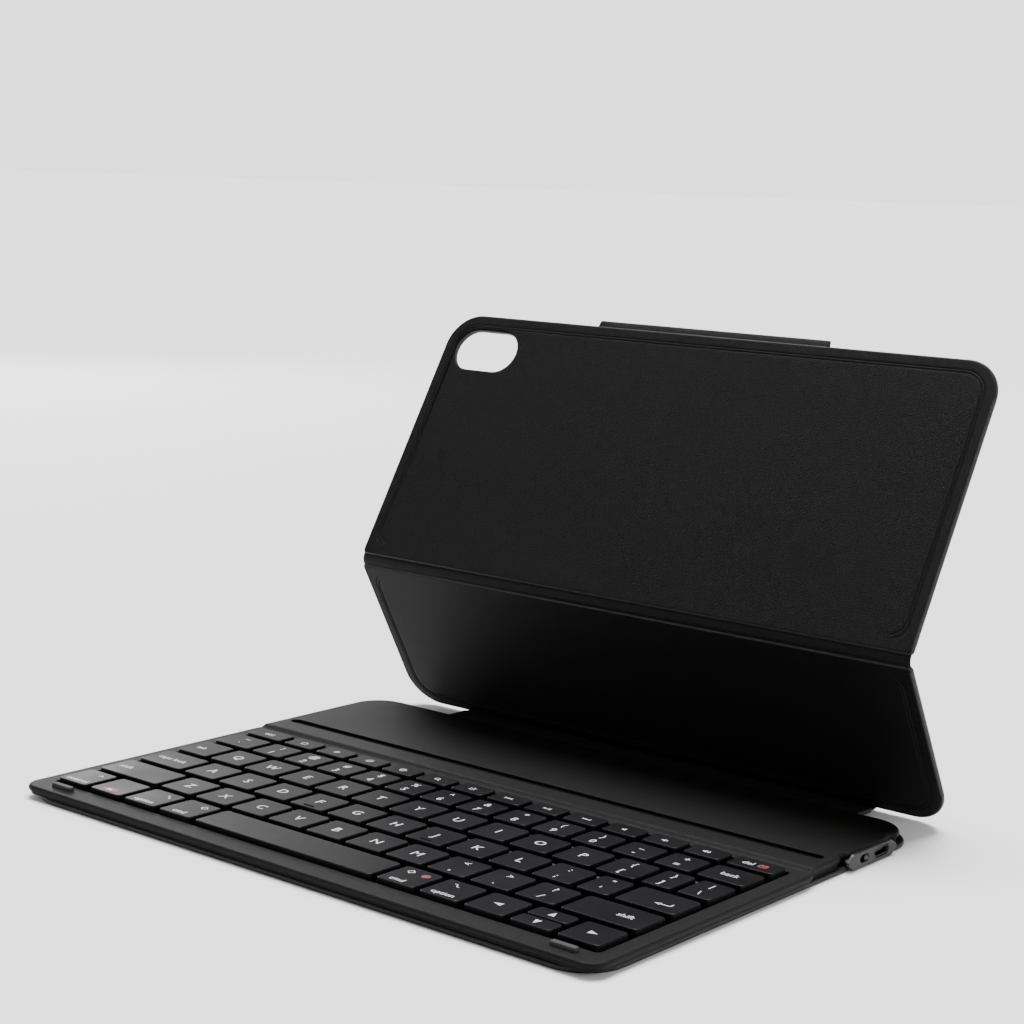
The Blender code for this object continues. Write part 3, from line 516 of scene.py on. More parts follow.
def panel_levels():
    """(inset, height, pressed depth, fold's corner radius) of each ring, from lining to outer face."""
    top = PANEL_HALF_THICKNESS
    rows = [(LINE_INSETS[1] + 1.2 * MM, top, 0.0, LINE_CURL)]
    line = ((1.3, 0.0), (0.6, 0.6), (0.0, 1.0), (-0.6, 0.6), (-1.3, 0.0))
    for inset in reversed(LINE_INSETS):
        for share, depth in line:
            rows.append((inset + LINE_HALF_WIDTH * share, top, LINE_DEPTH * depth, LINE_CURL))
    rows.append((3.4 * MM, top, 0.0, 4.0 * MM))
    rows.append((EDGE_ROUND + 0.4 * MM, top, 0.0, FOLD_CORNER))
    for step in range(9):
        angle = math.radians(90 - 180 * step / 8)
        inset = EDGE_ROUND * (1 - math.cos(angle))
        rows.append((inset, top * math.sin(angle), 0.0, FOLD_CORNER))
    rows.append((EDGE_ROUND + 0.4 * MM, -top, 0.0, FOLD_CORNER))
    for share, depth in (*line, (-3.0, 0.0)):
        rows.append((OUTER_LINE_INSET - share * LINE_HALF_WIDTH, -top, -LINE_DEPTH * depth, 2.5 * MM))
    return rows


def window_levels():
    """(offset outwards, height) of each ring of the camera window, from the lining to the outer face."""
    top = PANEL_HALF_THICKNESS
    levels = [(1.0 * MM, top), (0.5 * MM, top), (0.15 * MM, top - 0.12 * MM), (0.0, top - 0.45 * MM),
              (0.0, -top + 0.45 * MM), (0.15 * MM, -top + 0.12 * MM), (0.5 * MM, -top), (1.3 * MM, -top)]
    levels += [(1.7 * MM, -top + LINE_DEPTH), (2.1 * MM, -top), (2.7 * MM, -top)]
    return levels


def build_panel(name, start, end, fold_at_start, offset, matrix, window):
    """Board wrapped in outer leather, with the lining let into its inner face."""
    mesh = bmesh.new()
    rings = []
    for inset, height, depth, fold_corner in panel_levels():
        points, shares = panel_ring(start, end, inset, fold_corner, fold_at_start)
        rings.append([(x, y, height - depth * share + offset) for (x, y), share in zip(points, shares)])
    rows = add_rings(mesh, rings, cap_first=not window, cap_last=not window)
    if window:
        hole = []
        for spread, height in window_levels():
            length = WINDOW_LENGTH + 2 * spread
            outline = slot_outline(WINDOW_X, WINDOW_S, length, WINDOW_HEIGHT + 2 * spread, 12)
            hole.append([(x, y, height + offset) for x, y in outline])
        hole_rows = add_rings(mesh, hole, cap_first=False, cap_last=False)
        for outer_row, inner_row in ((rows[0], hole_rows[0]), (rows[-1], hole_rows[-1])):
            edges = ring_edges(outer_row) + ring_edges(inner_row)
            bmesh.ops.triangle_fill(mesh, use_beauty=True, use_dissolve=False, edges=edges)
    for face in mesh.faces:
        centre = face.calc_center_median()
        within_x = abs(centre.x) < PANEL_HALF_WIDTH - EDGE_ROUND * 0.5
        within_y = start + EDGE_ROUND * 0.5 < centre.y < end - EDGE_ROUND * 0.5
        on_lining = centre.z - offset > PANEL_HALF_THICKNESS * 0.7
        face.material_index = 1 if on_lining and within_x and within_y else 0
    return finish_mesh(name, mesh, [OUTER_LEATHER, LINING], matrix)


def ring_edges(row):
    """The edges between neighbouring vertices of a closed row."""
    found = []
    for index, vertex in enumerate(row):
        following = row[(index + 1) % len(row)]
        found += [edge for edge in vertex.link_edges if edge.other_vert(vertex) == following]
    return found


def bezier(p0, p1, p2, share):
    """Point on a quadratic curve in the YZ plane."""
    return p0 * (1 - share) ** 2 + p1 * (2 * share * (1 - share)) + p2 * share ** 2


def build_web(name, half_width, path, thickness, materials, inner_side):
    """Flexible strip across a fold: a section along a path in YZ, drawn out along X, with rounded ends.

    thickness gives the half thickness at each point. inner_side is +1 where the lining is left of the
    path."""
    normals = []
    for index in range(len(path)):
        before = path[max(index - 1, 0)]
        after = path[min(index + 1, len(path) - 1)]
        along = (after - before).normalized()
        normals.append(Vector((-along.y, along.x)))
    ends = ((0.0, 0.05), (0.12, 0.45), (0.35, 0.8), (0.7, 1.0))
    stations = [(-half_width + distance * MM, share) for distance, share in ends]
    stations += [(half_width * k / 6, 1.0) for k in range(-5, 6)]
    stations += [(half_width - distance * MM, share) for distance, share in reversed(ends)]
    mesh = bmesh.new()
    rings = []
    for x, share in stations:
        ring = []
        for point, normal, half in zip(path, normals, thickness):
            spot = point + normal * half * share
            ring.append((x, spot.x, spot.y))
        for point, normal, half in reversed(list(zip(path, normals, thickness))):
            spot = point - normal * half * share
            ring.append((x, spot.x, spot.y))
        rings.append(ring)
    rows = add_rings(mesh, rings)
    count = len(path)
    lining = set()
    for row in rows:
        lining.update(row[:count] if inner_side > 0 else row[count:])
    for face in mesh.faces:
        if all(vertex in lining for vertex in face.verts):
            face.material_index = 1
    return finish_mesh(name, mesh, materials, weighted=False)


def panel_point(matrix, along, height):
    """Y and Z in the row frame of a point of a panel."""
    spot = matrix @ Vector((0, along, height))
    return Vector((spot.y, spot.z))


def crossing(point_a, angle_a, point_b, angle_b):
    """Where two lines in the YZ plane meet."""
    ax, ay = math.cos(angle_a), math.sin(angle_a)
    bx, by = math.cos(angle_b), math.sin(angle_b)
    gap = point_b - point_a
    along = (gap.x * by - gap.y * bx) / (ax * by - ay * bx)
    return Vector((point_a.x + ax * along, point_a.y + ay * along))


def fold_path(p0, angle0, p2, angle2, steps=14):
    """Smooth path from one board's end to the next, leaving each along its own direction."""
    corner = crossing(p0, angle0, p2, angle2)
    return [bezier(p0, corner, p2, index / steps) for index in range(steps + 1)]


def pinched(count, half, pinch):
    """Half thickness along a web: pressed thin beside each board, fuller in the middle."""
    values = []
    for index in range(count):
        share = index / (count - 1)
        values.append(half - pinch * (0.5 + 0.5 * math.cos(4 * math.pi * share)))
    return values


def along_blend(piece):
    """Bake a web's placement into its mesh."""
    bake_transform(piece)


def build_slab(name, low, high, corner, materials, edge=0.45 * MM, matrix=None):
    """Flat piece with rounded edges, from its lowest and highest corners."""
    middle = (low[2] + high[2]) / 2
    half = (high[2] - low[2]) / 2
    levels = []
    for step in range(9):
        angle = math.radians(-90 + 180 * step / 8)
        levels.append((edge * (1 - math.cos(angle)), middle + half * math.sin(angle)))
    levels.insert(0, (edge + 0.5 * MM, low[2]))
    levels.append((edge + 0.5 * MM, high[2]))
    stack = []
    for inset, level in levels:
        radii = [max(corner - inset, 0.15 * MM)] * 4
        outline = rounded_rectangle(low[0] + inset, low[1] + inset, high[0] - inset, high[1] - inset, radii)
        stack.append((outline, level))
    return stacked(name, outline_rings(stack), materials, matrix)


def build_cover():
    """Both panels, the spine, the flap and the leather that joins them."""
    lower_matrix = panel_matrix(*joint_point("cover_fold"), LOWER_ANGLE)
    upper_matrix = panel_matrix(*joint_point("middle_fold"), UPPER_ANGLE)
    lower = build_panel("lower_panel_leather", LOWER_START, LOWER_END, False, -LOWER_OFFSET, lower_matrix,
                        False)
    settle(lower, "lower_panel", "outer_leather", "lower_lining", "lower_board", "lower_skin")
    upper = build_panel("upper_panel_leather", UPPER_START, UPPER_END, True, 0.0, upper_matrix, True)
    settle(upper, "upper_panel", "outer_leather", "upper_lining", "upper_board", "upper_skin",
           "tablet_magnet")

    leathers = [OUTER_LEATHER, LINING]
    web_width = PANEL_HALF_WIDTH - 0.5 * MM
    path = fold_path(panel_point(lower_matrix, LOWER_END - TUCK, -LOWER_OFFSET), LOWER_ANGLE,
                     panel_point(upper_matrix, UPPER_START + TUCK, 0.0), UPPER_ANGLE)
    halves = pinched(len(path), WEB_HALF_THICKNESS, 0.1 * MM)
    middle = build_web("middle_fold_leather", web_width, path, halves, leathers, 1)
    along_blend(middle)

    build_spine(lower_matrix, leathers)
    build_flap(upper_matrix, leathers)


def build_spine(lower_matrix, leathers):
    """Spine strip, and the leather from the base to it and from it to the lower panel."""
    skin_low, skin_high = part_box("spine_skin")
    lining_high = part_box("spine_lining")[1]
    spine = build_slab("spine_leather", (skin_low.x, skin_low.y, skin_low.z),
                       (skin_high.x, skin_high.y, lining_high.z), 0.8 * MM, [OUTER_LEATHER], 0.6 * MM)
    settle(spine, "spine", "outer_leather", "spine_skin", "spine_stiffener", "spine_lining")
    half_width = skin_high.x
    middle_z = (skin_low.z + lining_high.z) / 2

    tongue_end = Vector((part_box("base_outer_skin")[1].y - 0.2 * MM, 0.72 * MM))
    spine_start = Vector((skin_low.y + TUCK, middle_z))
    steps = 10
    path = [tongue_end.lerp(spine_start, index / steps) for index in range(steps + 1)]
    halves = pinched(len(path), WEB_HALF_THICKNESS, 0.08 * MM)
    web = build_web("spine_fold_leather", half_width, path, halves, leathers, 1)
    along_blend(web)

    panel_foot = panel_point(lower_matrix, LOWER_START + TUCK, -LOWER_OFFSET)
    path = fold_path(Vector((skin_high.y - TUCK, middle_z)), 0.0, panel_foot, LOWER_ANGLE)
    halves = pinched(len(path), WEB_HALF_THICKNESS, 0.08 * MM)
    web = build_web("cover_fold_leather", half_width, path, halves, leathers, 1)
    along_blend(web)


def local_box(node, matrix):
    """Lowest and highest corner of a CAD node in a panel's own frame."""
    inverse = matrix.inverted()
    spots = [inverse @ vertex.co for vertex in frame["nodes"][node].data.vertices]
    low = Vector([min(spot[axis] for spot in spots) for axis in range(3)])
    high = Vector([max(spot[axis] for spot in spots) for axis in range(3)])
    return low, high


def build_flap(upper_matrix, leathers):
    """Closure flap folded back on the outer face of the upper panel."""
    strip_low, strip_high = local_box("flap_strip", upper_matrix)
    tab_low, tab_high = local_box("flap_tab", upper_matrix)
    strip = build_slab("flap_strip_leather", strip_low, strip_high, 0.6 * MM, [OUTER_LEATHER], 0.3 * MM,
                       upper_matrix)
    settle(strip, "flap_strip", "outer_leather", "flap_strip")
    tab = build_slab("flap_tab_leather", tab_low, tab_high, 5.0 * MM, [OUTER_LEATHER], 0.6 * MM, upper_matrix)
    settle(tab, "flap_tab", "outer_leather", "flap_tab", "flap_magnet")

    half_width = strip_high.x
    strip_level = (strip_low.z + strip_high.z) / 2
    tab_level = (tab_low.z + tab_high.z) / 2
    leather_half = 0.42 * MM
    tuck = 0.6 * MM
    panel_edge = Vector((UPPER_END - tuck, -0.3 * MM))
    strip_edge = Vector((strip_high.y - tuck, strip_level))
    reach = 3.4 * MM
    steps = 16
    path = []
    for index in range(steps + 1):
        share = index / steps
        spot = panel_edge.lerp(strip_edge, share)
        bulge = reach * math.sin(math.pi * share) ** 0.7
        path.append(panel_point(upper_matrix, spot.x + bulge, spot.y))
    web = build_web("flap_root_leather", half_width, path, [leather_half] * len(path), leathers, 1)
    along_blend(web)

    start = Vector((strip_low.y + tuck, strip_level))
    end = Vector((tab_high.y - tuck, tab_level))
    steps = 8
    path = [panel_point(upper_matrix, *start.lerp(end, index / steps)) for index in range(steps + 1)]
    web = build_web("flap_tip_leather", half_width - 0.3 * MM, path, [leather_half] * len(path), leathers, -1)
    along_blend(web)


# ---------------------------------------------------------------- base

def build_base_slab():
    """Leather-wrapped board under the keyboard, with the tongue that runs back to the spine."""
    low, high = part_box("base_board")
    edge = 0.5 * MM
    slab = build_slab("base_slab_leather", (low.x, low.y, 0.0), (high.x, high.y, SLAB_TOP), 15.0 * MM,
                      [SLAB_LEATHER], edge)
    settle(slab, "base", "outer_leather", "base_outer_skin", "base_board")
    tongue_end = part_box("base_outer_skin")[1].y
    half_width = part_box("spine_skin")[1].x
    tongue = build_slab("base_tongue_leather", (-half_width, high.y - 4 * MM, 0.05 * MM),
                        (half_width, tongue_end + 0.4 * MM, 1.4 * MM), 0.8 * MM, [OUTER_LEATHER], edge)
    settle(tongue, "base", "outer_leather")


def step_share(y):
    """Share of the climb from the deck to the housing at a place along the case."""
    return smoothstep((y - STEP_START) / STEP_RUN)


def cap_notch(y):
    """How far the side wall steps in beside each pointed end of the end cap."""
    total = 0.0
    for start, end in NOTCH_SPANS:
        total += NOTCH_DEPTH * smoothstep((y - start) / NOTCH_RAMP) * smoothstep((end - y) / NOTCH_RAMP)
    return total


def case_side(inset, notched):
    """Half outline of the housing from front to rear at one inset, as (x, y) points."""
    low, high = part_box("top_case")
    front_radius = DECK_CORNER - inset
    rear_radius = PLATEAU_CORNER - inset
    points = arc((DECK_HALF_WIDTH - DECK_CORNER, low.y + DECK_CORNER), front_radius, -90, 0, 14)
    fine = [STEP_START - 2.0 * MM + 0.5 * MM * k for k in range(14)]
    fine += [39.8 * MM + 0.4 * MM * k for k in range(19)]
    fine += [70.4 * MM + 0.4 * MM * k for k in range(14)]
    for y in [-60 * MM, -30 * MM, 0.0, 15 * MM] + fine:
        narrowing = smoothstep((y - NARROW_START) / NARROW_RUN)
        half = DECK_HALF_WIDTH + (PLATEAU_HALF_WIDTH - DECK_HALF_WIDTH) * narrowing
        points.append((half - inset, y))
    points += arc((PLATEAU_HALF_WIDTH - PLATEAU_CORNER, high.y - PLATEAU_CORNER), rear_radius, 0, 90, 12)
    return [(x - (cap_notch(y) if notched else 0.0), y) for x, y in points]


def build_case_body():
    """Deck and raised housing as one pressed surface with a rounded bead round its edge."""
    levels = [(0.95 * MM, CASE_BOTTOM - 0.1 * MM, 0.0), (1.0 * MM, CASE_BOTTOM + 0.7 * MM, 0.0)]
    for angle_deg in (-55, -30, 0, 20, 40, 60, 75, 90):
        angle = math.radians(angle_deg)
        inset = BEAD_RADIUS * (1 - math.cos(angle))
        levels.append((inset, BEAD_HEIGHT * (math.sin(angle) - 1), 1.0))
    levels += [(BEAD_RADIUS + 0.4 * MM, 0.0, 1.0), (BEAD_RADIUS + 1.4 * MM, 0.0, 1.0)]
    mesh = bmesh.new()
    rings = []
    for inset, level, follows_top in levels:
        ring = []
        right = case_side(inset, True)
        left = [(-x, y) for x, y in reversed(case_side(inset, False))]
        for x, y in right + left:
            top = DECK_TOP + (PLATEAU_TOP - DECK_TOP) * step_share(y)
            ring.append((x, y, level + follows_top * top))
        rings.append(ring)
    rows = add_rings(mesh, rings, cap_last=False)
    last = rows[-1]
    count = len(last)
    for index in range(count // 2 - 1):
        mesh.faces.new((last[index], last[index + 1], last[count - 2 - index], last[count - 1 - index]))
    return finish_mesh("deck_leather", mesh, [DECK_LEATHER])


def well_box():
    """Front-left and rear-right corners of the key well."""
    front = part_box("key_space")[0].y - WELL_MARGIN
    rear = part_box("function_keys")[1].y + WELL_MARGIN
    half = FIELD_HALF + WELL_MARGIN
    return (-half, front), (half, rear)


def cut_well(body):
    """Key well with a softly rounded rim."""
    (x0, y0), (x1, y1) = well_box()
    stack = []
    levels = [(0.0, CASE_BOTTOM - 1 * MM), (0.0, DECK_TOP - RIM_ROUND)] + lip_levels(RIM_ROUND, DECK_TOP)
    for spread, level in levels:
        radii = [WELL_CORNER + spread] * 4
        stack.append((rounded_rectangle(x0 - spread, y0 - spread, x1 + spread, y1 + spread, radii), level))
    cut(body, outline_rings(stack))


def cut_groove(body):
    """Groove for the tablet's lower edge, with a rounded bottom and lips, its inside painted near-black as
    shade.
    """
    length = 2 * GROOVE_HALF_LENGTH
    bottom = PLATEAU_TOP - GROOVE_DEPTH
    levels = [(-0.4 * MM, bottom), (-0.2 * MM, bottom + 0.05 * MM), (-0.05 * MM, bottom + 0.2 * MM),
              (0.0, bottom + 0.4 * MM)]
    levels += lip_levels(GROOVE_LIP, PLATEAU_TOP)
    stack = []
    for spread, level in levels:
        stack.append((slot_outline(0, GROOVE_Y, length + 2 * spread, GROOVE_WIDTH + 2 * spread), level))
    cut(body, outline_rings(stack))
    # The groove's walls and floor take the near-black painted shade material.
    body.data.materials.append(GROOVE_PAINTED_SHADE)
    half_width = GROOVE_WIDTH / 2 + 0.02 * MM
    for face in body.data.polygons:
        inside = abs(face.center.y - GROOVE_Y) < half_width and abs(face.center.x) < GROOVE_HALF_LENGTH
        if inside and face.center.z < PLATEAU_TOP - 0.25 * MM and face.center.z > CASE_BOTTOM + 1 * MM:
            face.material_index = 1


def build_deck():
    """Deck and housing, with the well and the groove cut into them."""
    body = build_case_body()
    cut_well(body)
    cut_groove(body)
    settle(body, "base", "case_cover", "top_case")


def hex_outline(middle, half_length, half_flat, half_height, corner):
    """Six-sided outline in YZ with rounded corners."""
    y, z = middle
    corners = [Vector((y - half_flat, z - half_height)), Vector((y + half_flat, z - half_height)),
               Vector((y + half_length, z)), Vector((y + half_flat, z + half_height)),
               Vector((y - half_flat, z + half_height)), Vector((y - half_length, z))]
    points = []
    count = len(corners)
    for index, spot in enumerate(corners):
        before = (corners[index - 1] - spot).normalized() * corner
        after = (corners[(index + 1) % count] - spot).normalized() * corner
        for step in range(5):
            points.append(tuple(bezier(spot + before, spot, spot + after, step / 4)))
    return points


def build_end_cap():
    """Grey plastic cap with the charging port's mouth and the switch slot."""
    low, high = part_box("end_cap")
    port_low, port_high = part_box("usb_port")
    knob_low, knob_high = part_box("power_switch")
    middle = ((low.y + high.y) / 2, (low.z + high.z) / 2)
    half_height = (high.z - low.z) / 2
    half_length = (high.y - low.y) / 2
    half_flat = half_length - 3.9 * MM
    step_x = low.x + 1.3 * MM
    stack = []
    levels = ((1.2 * MM, low.x), (1.2 * MM, step_x), (0.15 * MM, step_x), (0.0, step_x + 0.15 * MM),
              (0.0, high.x - 0.35 * MM), (0.1 * MM, high.x - 0.1 * MM), (0.35 * MM, high.x),
              (0.8 * MM, high.x))
    for inset, level in levels:
        outline = hex_outline(middle, half_length - inset * 1.3, half_flat - inset * 0.6,
                              half_height - inset, 1.1 * MM)
        stack.append((outline, level))
    cap = stacked("end_cap_shell", rings_along_x(stack), [CAP_PLASTIC])
    port = ((port_low.y + port_high.y) / 2, (port_low.z + port_high.z) / 2)
    slot_y = (knob_low.y + knob_high.y) / 2 - 1.1 * MM
    openings = ((port, port_high.y - port_low.y + 0.5 * MM, port_high.z - port_low.z + 0.5 * MM),
                ((slot_y, port[1]), 5.4 * MM, 2.5 * MM))
    for (y, z), length, height in openings:
        stack = []
        for spread, level in ((0.0, low.x - 5 * MM), (0.0, high.x - 0.3 * MM), (0.1 * MM, high.x - 0.1 * MM),
                              (0.3 * MM, high.x), (0.3 * MM, high.x + 2 * MM)):
            stack.append((slot_outline(y, z, length + 2 * spread, height + 2 * spread), level))
        cut(cap, rings_along_x(stack))
    settle(cap, "base", "cap_plastic", "end_cap")


def build_bumpers():
    """Two low rubber pads with rounded tops."""
    for name in ("bumper_left", "bumper_right"):
        low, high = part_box(name)
        stack = []
        for inset, share in ((0.0, 0.0), (0.0, 0.45), (0.08, 0.7), (0.25, 0.9), (0.5, 1.0)):
            radius = [(0.9 - inset) * MM] * 4
            outline = rounded_rectangle(low.x + inset * MM, low.y + inset * MM, high.x - inset * MM,
                                        high.y - inset * MM, radius, 5)
            stack.append((outline, DECK_TOP + 0.02 * MM + (high.z - DECK_TOP) * share))
        pad = stacked(f"{name}_pad", outline_rings(stack), [BUMPER_RUBBER])
        settle(pad, "base", "bumper_rubber", name)


# ---------------------------------------------------------------- keys

def add_keycap(mesh, cell, bottom, top):
    """One keycap: slightly tapered sides, a rounded shoulder and a flat top."""
    x0, y0, x1, y1 = cell
    stack = [(0.0, bottom), (0.0, top - 1.3 * MM)]
    for step in range(6):
        angle = math.radians(90 * step / 5)
        inset = 0.06 * MM + KEY_ROUND * (1 - math.cos(angle))
        stack.append((inset, top - KEY_ROUND * (1 - math.sin(angle))))
    stack.append((KEY_ROUND + 0.35 * MM, top))
    outlines = []
    for inset, level in stack:
        radius = [max(KEY_CORNER - inset * 0.6, 0.4 * MM)] * 4
        outlines.append((rounded_rectangle(x0 + inset, y0 + inset, x1 - inset, y1 - inset, radius, 6), level))
    add_rings(mesh, outline_rings(outlines))


def row_cells(node, widths, x0=-FIELD_HALF, x1=FIELD_HALF):
    """Cells of a row from the CAD node that gives its depth. A width of 0 runs to the row's end."""
    low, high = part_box(node)
    cells = []
    left = x0
    for width in widths:
        right = left + width if width else x1
        cells.append((left, low.y, right, high.y))
        left = right + COLUMN_GAP
    return cells


def cell_of(node):
    """Cell of a key that is a CAD node of its own."""
    low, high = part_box(node)
    return (low.x, low.y, high.x, high.y)


def edge_after(node):
    """Where the key to the right of this one starts."""
    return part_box(node)[1].x + COLUMN_GAP


def edge_before(node):
    """Where the key to the left of this one ends."""
    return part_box(node)[0].x - COLUMN_GAP


class Legends:
    """Printed marks of one moving body, gathered into one mesh."""

    def __init__(self, level):
        self.mesh = bmesh.new()
        self.level = level

    def plate(self, outline, material=0):
        """Thin plate with the given outline."""
        base = self.level - 0.01 * MM
        top = self.level + LEGEND_THICKNESS
        add_rings(self.mesh, outline_rings([(outline, base), (outline, top)]), material=material)

    def stroke(self, points, width):
        """Line of constant width through points, with mitred joints."""
        sides = []
        for sign in (1, -1):
            side = []
            for index, spot in enumerate(points):
                before = Vector(points[max(index - 1, 0)])
                here = Vector(spot)
                after = Vector(points[min(index + 1, len(points) - 1)])
                incoming = (here - before).normalized() if index else (after - here).normalized()
                outgoing = (after - here).normalized() if index < len(points) - 1 else incoming
                bisector = (incoming + outgoing).normalized()
                normal = Vector((-bisector.y, bisector.x))
                mitre = max(0.5, incoming.dot(bisector))
                side.append(tuple(here + normal * sign * width / 2 / mitre))
            sides.append(side)
        self.plate(sides[1] + sides[0][::-1])

    def ring(self, x, y, radius, width, start=0, end=360, steps=20):
        """Part of a circle's line."""
        self.stroke(arc((x, y), radius, start, end, steps), width)

    def disc(self, x, y, radius, material=0):
        """Filled circle."""
        self.plate(arc((x, y), radius, 0, 350, 24), material)

    def line(self, x, y, points, width):
        """Line through points that are given in millimetres from a middle."""
        self.stroke([(x + right * MM, y + up * MM) for right, up in points], width * MM)

    def ray(self, x, y, turn, inner, outer, width):
        """Straight line outwards from a middle, between two distances."""
        angle = math.radians(turn)
        ends = [(x + reach * math.cos(angle), y + reach * math.sin(angle)) for reach in (inner, outer)]
        self.stroke(ends, width)

    def text(self, words, x, y, height, align='CENTER', lift=0.0):
        """Words of the built-in font; the height is a capital's, y is the middle of a capital."""
        curve = bpy.data.curves.new("legend_text", 'FONT')
        curve.body = words
        curve.align_x = align
        curve.size = height / CAPITAL_SHARE
        curve.offset = 0.006 * curve.size
        curve.resolution_u = 3
        curve.extrude = (LEGEND_THICKNESS + 0.01 * MM + lift) / 2
        holder = link_object("legend_text", curve)
        bpy.context.view_layer.update()
        depsgraph = bpy.context.evaluated_depsgraph_get()
        data = bpy.data.meshes.new_from_object(holder.evaluated_get(depsgraph))
        data.transform(Matrix.Translation((x, y - height / 2, self.level - 0.01 * MM + curve.extrude)))
        self.mesh.from_mesh(data)
        bpy.data.meshes.remove(data)
        bpy.data.objects.remove(holder)
        bpy.data.curves.remove(curve)

    def finish(self, name, body):
        """Link the marks and let them travel with their keys."""
        bmesh.ops.remove_doubles(self.mesh, verts=self.mesh.verts, dist=0.002 * MM)
        marks = finish_mesh(name, self.mesh, [WHITE_INK, RED_INK], weighted=False)
        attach(marks, body)


def middle_of(cell):
    """Centre of a cell."""
    return (cell[0] + cell[2]) / 2, (cell[1] + cell[3]) / 2


def draw_pair(legends, cell, below, above, shift=SYMBOL_SHIFT):
    """A mark near the key's front and its shifted mark near the rear."""
    x, y = middle_of(cell)
    legends.text(below, x, y - shift, DIGIT_HEIGHT)
    legends.text(above, x, y + shift, DIGIT_HEIGHT * 0.95)


def triangle(legends, x, y, size, angle_deg):
    """Filled triangle that points along an angle."""
    outline = []
    for turn, reach in ((0, 1.0), (140, 1.05), (220, 1.05)):
        angle = math.radians(angle_deg + turn)
        outline.append((x + size * reach * math.cos(angle), y + size * reach * math.sin(angle)))
    legends.plate(outline)


def draw_sun(legends, x, y, radius):
    """Brightness mark: a ring with eight rays."""
    line = 0.32 * MM
    legends.ring(x, y, radius, line)
    inner = radius + 0.42 * MM
    for turn in range(0, 360, 45):
        legends.ray(x, y, turn, inner, inner + radius * 0.55, line)


def draw_house(legends, x, y):
    """Home mark."""
    legends.line(x, y, [(-1.5, 0), (0, 1.25), (1.5, 0)], 0.32)
    legends.line(x, y, [(-1, 0), (-1, -1.25), (1, -1.25), (1, 0)], 0.32)


def draw_lens(legends, x, y):
    """Search mark."""
    radius = 0.95 * MM
    legends.ring(x - 0.25 * MM, y + 0.25 * MM, radius, 0.32 * MM)
    legends.line(x, y, [(0.434, -0.434), (1.35, -1.35)], 0.36)


def draw_globe(legends, x, y):
    """Language mark: a ring with a meridian and an equator."""
    radius = 1.3 * MM
    legends.ring(x, y, radius, 0.28 * MM)
    legends.line(x, y, [(-1.3, 0), (1.3, 0)], 0.24)
    legends.line(x, y, [(0, -1.3), (0, 1.3)], 0.24)


def draw_key_light(legends, x, y):
    """Key light mark: a bar with rays above it."""
    legends.line(x, y, [(-1.3, -0.9), (1.3, -0.9)], 0.4)
    for turn in (40, 90, 140):
        legends.ray(x, y - 0.4 * MM, turn, 0.7 * MM, 1.7 * MM, 0.3 * MM)


def draw_skip(legends, x, y, direction):
    """Previous or next track."""
    heading = 0 if direction > 0 else 180
    triangle(legends, x - 0.55 * MM * direction, y, 0.85 * MM, heading)
    triangle(legends, x + 0.75 * MM * direction, y, 0.85 * MM, heading)
    bar = 1.85 * direction
    legends.line(x, y, [(bar, -0.75), (bar, 0.75)], 0.3)


def draw_play(legends, x, y):
    """Play and pause."""
    triangle(legends, x - 0.7 * MM, y, 0.95 * MM, 0)
    for shift in (0.8, 1.5):
        legends.line(x, y, [(shift, -0.8), (shift, 0.8)], 0.32)


def draw_speaker(legends, x, y, waves):
    """Loudspeaker with sound arcs."""
    left = x - (0.5 + 0.35 * waves) * MM
    outline = [(left - 0.7 * MM, y - 0.4 * MM), (left, y - 0.4 * MM), (left + 0.8 * MM, y - 1.1 * MM),
               (left + 0.8 * MM, y + 1.1 * MM), (left, y + 0.4 * MM), (left - 0.7 * MM, y + 0.4 * MM)]
    legends.plate(outline)
    for wave in range(waves):
        legends.ring(left + 0.7 * MM, y, (0.75 + 0.6 * wave) * MM, 0.28 * MM, -45, 45, 8)


def bank_piece(node, cells, web_boxes):
    """Keycaps of one bank on their thin web."""
    low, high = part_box(node)
    mesh = bmesh.new()
    for cell in cells:
        add_keycap(mesh, cell, low.z, high.z)
    for x0, y0, x1, y1 in web_boxes:
        outline = [(x0, y0), (x1, y0), (x1, y1), (x0, y1)]
        add_rings(mesh, outline_rings([(outline, low.z + 0.05 * MM), (outline, low.z + 0.35 * MM)]))
    caps = finish_mesh(f"{node}_caps", mesh, [KEY_PLASTIC])
    settle(caps, node, "key_plastic", node)
    return Legends(high.z)


def add_homing_bar(mesh, cell, top):
    """Raised bar that a fingertip finds, near the front of a key."""
    x = middle_of(cell)[0]
    y = cell[1]
    bar = rounded_rectangle(x - 2.4 * MM, y + 1.9 * MM, x + 2.4 * MM, y + 2.6 * MM, [0.34 * MM] * 4, 3)
    crown = rounded_rectangle(x - 2.25 * MM, y + 2.05 * MM, x + 2.25 * MM, y + 2.45 * MM, [0.19 * MM] * 4, 3)
    levels = [(bar, top - 0.05 * MM), (bar, top + 0.12 * MM), (crown, top + 0.25 * MM)]
    add_rings(mesh, outline_rings(levels))


def single_key(node, homing=False):
    """Keycap of a key that travels alone."""
    low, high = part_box(node)
    mesh = bmesh.new()
    add_keycap(mesh, cell_of(node), low.z, high.z)
    if homing:
        add_homing_bar(mesh, cell_of(node), high.z)
    cap = finish_mesh(f"{node}_cap", mesh, [KEY_PLASTIC])
    settle(cap, node, "key_plastic", node)
    return Legends(high.z)


def row_web(cells, half_width):
    """Web along a row, through the middle of its keys."""
    middle = (cells[0][1] + cells[0][3]) / 2
    return cells[0][0] + WEB_INSET, middle - half_width, cells[-1][2] - WEB_INSET, middle + half_width


